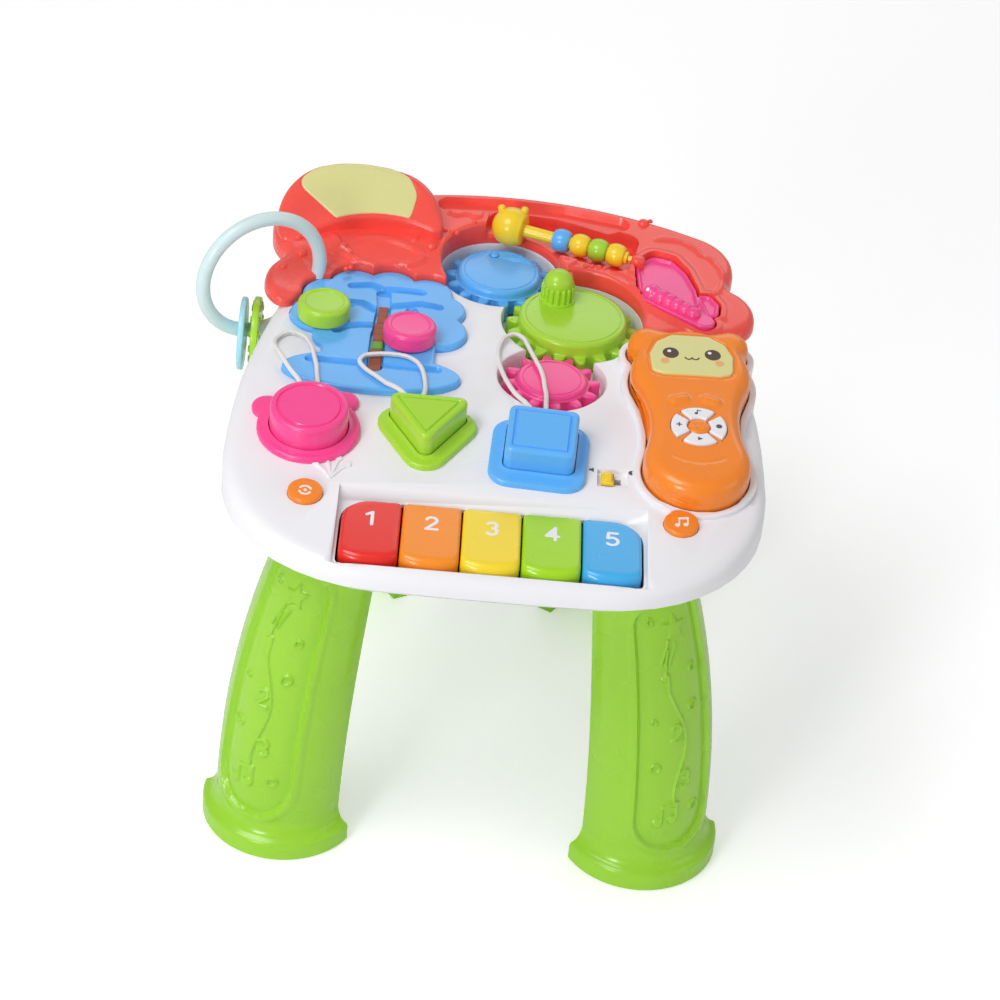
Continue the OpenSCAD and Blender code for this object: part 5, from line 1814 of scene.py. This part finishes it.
def tube_ring(name, profile, at, axis, sides=64):
    """A solid of revolution with a bore: a closed loop of (radius, height) pairs."""
    obj = turned(name, [*profile, profile[0]], at, axis, sides)
    bm = bmesh.new()
    bm.from_mesh(obj.data)
    for face in [f for f in bm.faces if len(f.verts) > 4]:
        bm.faces.remove(face)
    bmesh.ops.remove_doubles(bm, verts=bm.verts, dist=1e-7)
    bmesh.ops.recalc_face_normals(bm, faces=bm.faces)
    bm.to_mesh(obj.data)
    bm.free()
    return smooth(obj, 35)


def box_mesh(name, low, high, to_world):
    """A closed box between two corners of a frame."""
    (x0, y0, z0), (x1, y1, z1) = low, high
    plan = ((x0, y0), (x1, y0), (x1, y1), (x0, y1))
    verts = [to_world(x, y, z) for z in (z0, z1) for x, y in plan]
    faces = [(3, 2, 1, 0), (4, 5, 6, 7), (0, 1, 5, 4), (1, 2, 6, 5), (2, 3, 7, 6), (3, 0, 4, 7)]
    return mesh_object(name, verts, faces)


class TABLE_OT_keys(bpy.types.Operator):
    """Makes the five keys with their digits"""

    bl_idname = "activity_table.keys"
    bl_label = "Keys"

    def execute(self, context):
        for i in range(len(KEY_SLOTS)):
            x0 = (i - len(KEY_SLOTS) / 2) * KEY_PITCH + KEY_GAP / 2
            x1 = x0 + KEY_PITCH - KEY_GAP
            mid = (x0 + x1) / 2
            shape = [
                (x0, KEY_FRONT), (mid - 8, KEY_FRONT - 4.5), (mid + 8, KEY_FRONT - 4.5),
                (x1, KEY_FRONT), (x1, KEY_REAR), (x0, KEY_REAR),
            ]
            outline = rounded(shape, [5, 24, 24, 5, 18 if i == 4 else 3, 18 if i == 0 else 3])
            node = f"key_{i + 1}"
            cap = moulding(
                node + "_cap", shape_field(outline), box_of(outline, 2), KEY_LOW, key_top,
                lambda p: 2.6 + 3.4 * ramp(-p[:, 1], 148, 158), grid=2.2, spacing=1.3, step=0.6,
                drop=lambda p: 2.4 + 4.0 * ramp(-p[:, 1], 148, 158), to_world=on_front,
            )
            arm = box_mesh(node + "_arm", (mid - 11, KEY_REAR - 1, KEY_LOW),
                           (mid + 11, KEY_AXIS[0], KEY_LOW + 3), on_front)
            bore = [(2.05, 0), (4.2, 0), (4.2, 22), (2.05, 22)]
            hub = tube_ring(node + "_hub", bore, on_front(mid - 11, *KEY_AXIS), (1, 0, 0), 40)
            stand_in(join([cap, arm, hub], node + "_moulding"), node, 44)
            sign = decal(
                node + "_digit", digit(i + 1, (mid, -121.5), 6.0, 1.05),
                (mid - 8, -131, mid + 8, -112), key_top, 0.12, 1.2, on_front, 0.3, 0.6, 0.4,
            )
            place(sign, BODY_OF[node], "white_shell")
        return {"FINISHED"}


class TABLE_OT_buttons(bpy.types.Operator):
    """Makes the two round buttons and the slide switch"""

    bl_idname = "activity_table.buttons"
    bl_label = "Buttons and switch"

    def execute(self, context):
        profile = [
            (13.4, -8.8), (13.4, -6.3), (10.8, -6.3), (10.8, 1.2), *quarter(10.8, 1.6, 9.2, 3.0),
            (0, 3.1),
        ]
        for side, node in ((-1, "button_left"), (1, "button_right")):
            x, v = side * 115.0, -105.5
            cap = turned(node + "_cap", profile, on_front(x, v, 0), FRONT_NORMAL, 72)
            stand_in(cap, node, 35)
            if side < 0:
                marks = [arc_field(x, v - 0.6, 3.6, a, a + 130, 0.7) for a in (20, 200)]
                marks.append(disc_field(x, v - 0.6, 1.1))
            else:
                a, b = (x - 1.4, v + 3), (x + 3.8, v + 4)
                marks = [any_of(
                    disc_field(x - 2.6, v - 3, 1.5), disc_field(x + 2.6, v - 2, 1.5),
                    line_field([(a[0], v - 3), a], 0.5), line_field([(b[0], v - 2), b], 0.5),
                    line_field([a, b], 0.9),
                )]
            icon = decals(node + "_icon", marks, (x - 7, v - 7, x + 7, v + 7), 3.05, 0.1, 1.0,
                          on_front, 0.25, 0.5, 0.4)
            place(icon, BODY_OF[node], "white_shell")
        dress("slide_switch", 0.9, 3)
        return {"FINISHED"}


# ---------------------------------------------------------------- gears

# Each gear: middle, radius of its rim and height of its face
GEARS = {
    "gear_green": (45, 69, 35.75, 306),
    "gear_blue": (-4.96, 122.02, 28.0, 303),
    "gear_pink": (32.7, 1.97, 23.0, 300),
}
# The winding knob: middle, height of the face it stands on, ribs and their reach
KNOB = (34, 88, 306)
KNOB_RIBS, RIB_REACH = 16, 9.9


class TABLE_OT_gears(bpy.types.Operator):
    """Makes the three meshing gears and the winding knob"""

    bl_idname = "activity_table.gears"
    bl_label = "Gears"

    def execute(self, context):
        for node, (x, y, r, top) in GEARS.items():
            line = [
                (r - 4.6, -0.2), (r - 3.7, -0.2), (r - 3.8, 0.3), (r - 4.15, 0.42), (r - 4.5, 0.3),
            ]
            pieces = [
                eased(flat_copy(node), 1.2, 3, 40),
                tube_ring(node + "_line", line, (x, y, top), (0, 0, 1), 96),
            ]
            if node == "gear_blue":
                bump = [(2.6, -0.3), *quarter(2.6, 0, 0, 1.3, 6)]
                pieces.append(turned("drop", bump, (x - 4, y + 19, top), sides=28))
            stand_in(join(pieces, node + "_wheel"), node, 38)
        profile = [
            (8.9, -1.9), (8.9, 0.05), (12, 0.05), (12, 1.2), (10.0, 1.6), (9.8, 12.4), (9.9, 13),
            *quarter(9.9, 13, 0, 22, 9),
        ]
        knob = turned("knob_core", profile, KNOB, sides=80)
        profile = [(1.35, 0.8), (1.35, 11), *quarter(1.35, 11, 0, 12.3, 3)]
        rib = turned("rib", profile, (0, 0, 0), sides=12)
        ribs = ring_of("knob_ribs", rib, KNOB_RIBS, RIB_REACH * MM, slot_material("part_green"))
        ribs.data.transform(Matrix.Translation(Vector(KNOB) * MM))
        stand_in(join([knob, ribs], "knob_turning"), "gear_knob", 40)
        return {"FINISHED"}


# ---------------------------------------------------------------- sockets and blocks

BLOCK_TOP, SOCKET_TOP = 20.0, 4.5


def turned_plan(at, degrees):
    """A map from a piece's own plan to world millimetres on the front surface."""
    c, s = math.cos(math.radians(degrees)), math.sin(math.radians(degrees))

    def to_world(x, y, w):
        return on_front(at[0] + x * c - y * s, at[1] + x * s + y * c, w)

    return to_world


class TABLE_OT_blocks(bpy.types.Operator):
    """Makes the three shape blocks and their sockets"""

    bl_idname = "activity_table.blocks"
    bl_label = "Blocks and sockets"

    def execute(self, context):
        triangle = [(x * 1.08, y) for x, y in (polar(0, 0, 30, a) for a in (-90, 30, 150))]
        square = [(-22, -22), (22, -22), (22, 22), (-22, 22)]
        discs = ((0, 0, 32.4), (-27, 15.5, 10), (20.5, 26.5, 9))
        round_plate = any_of(*[disc_field(*disc) for disc in discs])
        kinds = {
            "round": ((-118, -47), 0, disc_field(0, 0, 24.5), disc_field(0, 0, 25.0), round_plate),
            "triangle": (
                (-44.5, -41), 0, *[shape_field(rounded(triangle, 5, grow)) for grow in (0, 0.5)],
                shape_field([(x, y - 3) for x, y in rounded(triangle, 6, 8)]),
            ),
            "square": (
                (27, -51), -3, *[shape_field(rounded(square, 5, grow)) for grow in (0, 0.5)],
                shape_field([(x - 0.5, y - 4) for x, y in rounded(square, 5, 8.5)]),
            ),
        }
        box = (-44, -52, 44, 44)
        for kind, (at, turn, field, hole, plate) in kinds.items():
            shared = dict(grid=2.4, spacing=1.4, to_world=turned_plan(at, turn))
            r = Relief()
            r.add(lambda p, f=field: 0.7 - np.abs(f(p) - 4.8), box, rise=-1.1, slope=0.7)
            block = moulding(f"block_{kind}_body", field, box, 1.3, BLOCK_TOP, 2.6, relief=r,
                             drop=2.4, **shared)
            stand_in(block, "block_" + kind)
            r = Relief()
            r.add(lambda p, f=hole: f(p) + 1.6, box, rise=0.9, slope=2.6, lines=SOFT)
            r.add(hole, box, floor=1.0, slope=0.5)
            socket = moulding(f"socket_{kind}_body", plate, box, 0.01, SOCKET_TOP - 0.6, 2.2,
                              relief=r, drop=1.9, **shared)
            stand_in(socket, "socket_" + kind)
        return {"FINISHED"}


# ---------------------------------------------------------------- worm, beads and butterfly

ROD_FROM, ROD_TO = Vector((12, 156, 315)), Vector((84, 131.5, 315))
ROD_WAY = (ROD_TO - ROD_FROM).normalized()
HEAD_AT, HEAD_R = Vector((1, 160, 315)), 13.5
BEADS_ALONG = (25, 38.5, 51.5, 64.2)


def cut_below(obj, z):
    """Lifts what lies below a height up to it, so that the piece has a flat underside."""
    for v in obj.data.vertices:
        v.co.z = max(v.co.z, z * MM)


class TABLE_OT_worm(bpy.types.Operator):
    """Makes the yellow worm, its rod and its four beads"""

    bl_idname = "activity_table.worm"
    bl_label = "Worm and beads"

    def execute(self, context):
        profile = [(0, -HEAD_R)]
        profile += [(math.sqrt(HEAD_R ** 2 - h * h), h) for h in np.linspace(-13.2, 7.6, 22)]
        profile += [(10.9, 8.4), (10.2, 9.0), (8.8, 9.2), (0, 9.2)]
        head = turned("worm_ball", profile, HEAD_AT, ROD_WAY, 72, 50)
        lumps = [
            turned("feeler", [(2.6, 9.5), (2.6, 12.4), *quarter(2.6, 12.6, 0, 14.6)],
                   (HEAD_AT.x + s, HEAD_AT.y + 2, HEAD_AT.z), (0.25 * s / 5, 0.2, 1), 28)
            for s in (-5, 5)
        ]
        head = join([head, *lumps], "worm_head_moulding")
        cut_below(head, SLOT_FLOOR + 0.05)
        stand_in(head, "worm_head", 42)
        profile = [(4.2, -7.9), (4.2, 72), (3.9, 72.5), (2, 72.5), (2, 80.8)]
        stand_in(turned("worm_neck", profile, ROD_FROM, ROD_WAY, 48), "worm_rod", 35)
        wide = math.pi / 4
        arc = [
            (2 + 6 * math.cos(a), 5.6 * math.sin(a) / math.sin(wide))
            for a in np.linspace(-wide, wide, 11)
        ]
        profile = [(4.25, -6), (5.4, -6), *arc, (5.4, 6), (4.25, 6)]
        for i, along in enumerate(BEADS_ALONG):
            name = f"bead_{i + 1}"
            bead = tube_ring(name + "_turning", profile, ROD_FROM + ROD_WAY * along, ROD_WAY, 64)
            stand_in(bead, name, 50)
        return {"FINISHED"}


class TABLE_OT_butterfly(bpy.types.Operator):
    """Makes the pink butterfly button"""

    bl_idname = "activity_table.butterfly"
    bl_label = "Butterfly"

    def execute(self, context):
        body = bar_field(*INSECT_BODY, 7.2)
        r = Relief()
        for wing, radius in WINGS:
            shape = shape_field(rounded(wing, radius))
            r.add(lambda p, f=shape: np.minimum(f(p) - 2.6, -body(p) - 0.5), INSECT_BOX, rise=-2.0,
                  slope=1.6, lines=SOFT)
        shell = moulding("butterfly_moulding", insect_field(0.0), INSECT_BOX, 305.8, DECK + 12.6,
                         1.8, relief=r, drop=1.7, grid=1.9, spacing=1.2, step=0.7)
        nose, tail = Vector((*INSECT_BODY[0], 313.6)), Vector((*INSECT_BODY[1], 312.6))
        profile = [(6.6 * math.sin(t), -6.6 * math.cos(t)) for t in np.linspace(0, 2.1, 12)]
        profile[0] = (0, -6.6)
        for k in range(5):
            size, z = 6.6 - 0.35 * k, 6.4 * k
            profile += [
                (size - 0.7, z + 4.9), (size - 0.1, z + 6.0), (size, z + 8), (size - 0.2, z + 10.0),
                (size - 0.8, z + 11.0),
            ]
        profile += [(1.6, 38.2), (0, 38.6)]
        body_piece = turned("butterfly_body", profile, nose, tail - nose, 48, 50)
        cut_below(body_piece, 306.4)
        stand_in(join([shell, body_piece], "butterfly_skin"), "butterfly", 46)
        # Two small white domes on the head: painted highlights
        for k, (x, y) in enumerate(((92.4, 90.6), (97.6, 97.6))):
            highlight_dot = turned(f"butterfly_eye_{k}", [(1.5, 5.9), *quarter(1.5, 6.2, 0, 7.0, 4)], nose,
                         (x - 95, y - 92.0, 3.4), 24)
            place(highlight_dot, BODY_OF["butterfly"], "white_shell")
        return {"FINISHED"}


# ---------------------------------------------------------------- ring and discs

RING_CENTRE = (-161.5, 73.6, 313.4)
RING_R, RING_WAY = 42.0, math.radians(30)
DISC_R, BORE_R, PIP_REACH = 24.5, 9.5, 19.5


def disc_edge(radius, half, rounding, steps):
    """A disc's rounded edge from its lower to its upper face; a bore has a negative rounding."""
    e = abs(rounding)
    return [
        (radius - rounding + rounding * math.cos(a), math.copysign(half - e, a) + e * math.sin(a))
        for a in np.linspace(-math.pi / 2, math.pi / 2, steps)
    ]


class TABLE_OT_ring(bpy.types.Operator):
    """Makes the arched ring and its two discs"""

    bl_idname = "activity_table.ring"
    bl_label = "Ring and discs"

    def execute(self, context):
        cx, cy, cz = RING_CENTRE
        cw, sw = math.cos(RING_WAY), math.sin(RING_WAY)
        path = [
            ((cx + RING_R * math.cos(a) * cw) * MM, (cy + RING_R * math.cos(a) * sw) * MM,
             (cz + RING_R * math.sin(a)) * MM)
            for a in (math.radians(d) for d in range(-14, 291, 4))
        ]
        ring = swept("arch_tube", path, 4.7 * MM, slot_material("mint_ring"), 0.0015, 0.0, 32)
        place(ring, BODY_OF["arch_ring"], "mint_ring", "arch_ring")
        for node, off, h, drop, bumps in (
            ("disc_blue", -10.5, 2.0, 3.0, 0), ("disc_green", -2.0, 2.5, 3.5, 12),
        ):
            s = off / cw
            at = (cx + off, cy + s * sw, cz - math.sqrt(RING_R ** 2 - s * s) - drop)
            rim = disc_edge(DISC_R, h, 1.3, 12)
            bore = disc_edge(BORE_R, h, -0.8, 8)[::-1]
            pieces = [tube_ring(node + "_plate", rim + bore, at, (1, 0, 0), 80)]
            if bumps:
                profile = [(2.2, -h - 1), *quarter(2.2, h, 1.2, h + 0.95, 4), (0, h + 1)]
                pip = turned("pip", profile, (0, 0, 0), sides=20)
                material = slot_material(SLOT_OF[node])
                pips = ring_of(node + "_pips", pip, bumps, PIP_REACH * MM, material)
                turn = Matrix.Rotation(math.pi / 2, 4, "Y")
                pips.data.transform(Matrix.Translation(Vector(at) * MM) @ turn)
                pieces.append(pips)
            stand_in(join(pieces, node + "_moulding"), node, 38)
        return {"FINISHED"}


# ---------------------------------------------------------------- deck

# Where the deck's edges stay sharp, in plan: its rim, the keys' pocket, the switch and the buttons
RIM_X, RIM_BOW, RIM_Y = 152, 0.0012, -170
KEYS_X, KEYS_Y = 100, -122
SWITCH_AT = (72.5, -92.5)
BUTTON_AT, BUTTON_CLEAR = (115, -130), 19
# Only edges this near to the play surface are rounded, by this width
EASED_DEPTH, DECK_EASE = 2.2, 1.0
BLADE_ROOT = (-101, -90)
BLADE_TIPS = ((-111, -78), (-104, -73), (-97, -72), (-91, -77))


class TABLE_OT_deck(bpy.types.Operator):
    """Makes the white deck with rounded rims and its small reliefs"""

    bl_idname = "activity_table.deck"
    bl_label = "Deck"

    def weigh(self, deck):
        """Marks the sharp edges of wells and rims on the upper side for rounding."""
        bm = bmesh.new()
        bm.from_mesh(deck.data)
        layer = bm.edges.layers.float.new("bevel_weight_edge")
        for edge in bm.edges:
            if len(edge.link_faces) != 2 or edge.calc_face_angle(0) < math.radians(34):
                continue
            a, b = [v.co / MM for v in edge.verts]
            x, y, z = (a + b) / 2
            plane = DECK + min(y - CREASE, 0) * math.tan(TILT)
            rim = abs(x) > RIM_X - RIM_BOW * max(y - CREASE, 0) ** 2 or y < RIM_Y
            keys = abs(x) < KEYS_X and y < KEYS_Y
            switch = abs(x - SWITCH_AT[0]) < 12 and abs(y - SWITCH_AT[1]) < 8
            button = math.hypot(abs(x) - BUTTON_AT[0], y - BUTTON_AT[1]) < BUTTON_CLEAR
            if z > plane - EASED_DEPTH and not (rim or keys or switch or button):
                edge[layer] = 1.0
        bm.to_mesh(deck.data)
        bm.free()

    def execute(self, context):
        deck = flat_copy("deck_top")
        self.weigh(deck)
        mod = deck.modifiers.new("ease", "BEVEL")
        mod.width, mod.segments, mod.limit_method = DECK_EASE * MM, 3, "WEIGHT"
        mod.use_clamp_overlap = False
        pieces = [baked(deck)]
        for k, (x, v) in enumerate(BLADE_TIPS):
            bend = ((BLADE_ROOT[0] + x) / 2, (BLADE_ROOT[1] + v) / 2 + 1)
            blade = any_of(line_field([BLADE_ROOT, bend, (x, v)], 1.3), disc_field(x, v, 2.4))
            pieces.append(moulding(
                f"blade_{k}", blade, (-118, -95, -84, -66), -0.6, 1.3, 1.1, drop=1.1, grid=1.4,
                step=0.4, spacing=0.9, to_world=on_front,
            ))
        stand_in(join(pieces, "deck_moulding"), "deck_top", 40)
        x, v = 60.0, -61.5
        horn = [(-2.2, -0.9), (-0.9, -0.9), (0.8, -2.1), (0.8, 2.1), (-0.9, 0.9), (-2.2, 0.9)]
        marks = [shape_field([(x + a, v + b) for a, b in horn]), ring_line(84.5, v, 1.7, 0.35)]
        icon = decals("switch_icons", marks, (54, v - 5, 90, v + 5), 0.0, 0.1, 1.0, on_front, 0.2,
                      0.4, 0.3)
        place(icon, "table", "rubber", material=icon_dark())
        return {"FINISHED"}


SPECIAL |= {f"key_{i}" for i in range(1, 6)} | {f"bead_{i}" for i in range(1, 5)}
SPECIAL |= {f"{part}_{kind}" for part in ("block", "socket") for kind in ROUTES} | set(GEARS)
SPECIAL |= {
    "button_left", "button_right", "slide_switch", "gear_knob", "worm_head", "worm_rod",
    "butterfly", "arch_ring", "disc_blue", "disc_green", "deck_top",
}
STEPS += [
    TABLE_OT_keys, TABLE_OT_buttons, TABLE_OT_gears, TABLE_OT_blocks, TABLE_OT_worm,
    TABLE_OT_butterfly, TABLE_OT_ring, TABLE_OT_deck,
]


class TABLE_PT_panel(bpy.types.Panel):
    """Lists the steps that build the table"""

    bl_label = "Activity Table"
    bl_idname = "TABLE_PT_panel"
    bl_space_type = "VIEW_3D"
    bl_region_type = "UI"
    bl_category = "Activity Table"

    def draw(self, context):
        for operator in STEPS:
            self.layout.operator(operator.bl_idname)


GROUPS = {"table_stage": StageSettings, "table_cords": CordSettings}


def register():
    for group in GROUPS.values():
        bpy.utils.register_class(group)
    for name, group in GROUPS.items():
        setattr(bpy.types.Scene, name, bpy.props.PointerProperty(type=group))
    for operator in STEPS:
        bpy.utils.register_class(operator)
    bpy.utils.register_class(TABLE_PT_panel)


def unregister():
    bpy.utils.unregister_class(TABLE_PT_panel)
    for operator in reversed(STEPS):
        bpy.utils.unregister_class(operator)
    for name in GROUPS:
        delattr(bpy.types.Scene, name)
    for group in GROUPS.values():
        bpy.utils.unregister_class(group)


def main():
    register()
    for operator in STEPS:
        space, name = operator.bl_idname.split(".")
        getattr(getattr(bpy.ops, space), name)()


if __name__ == "__main__":
    main()
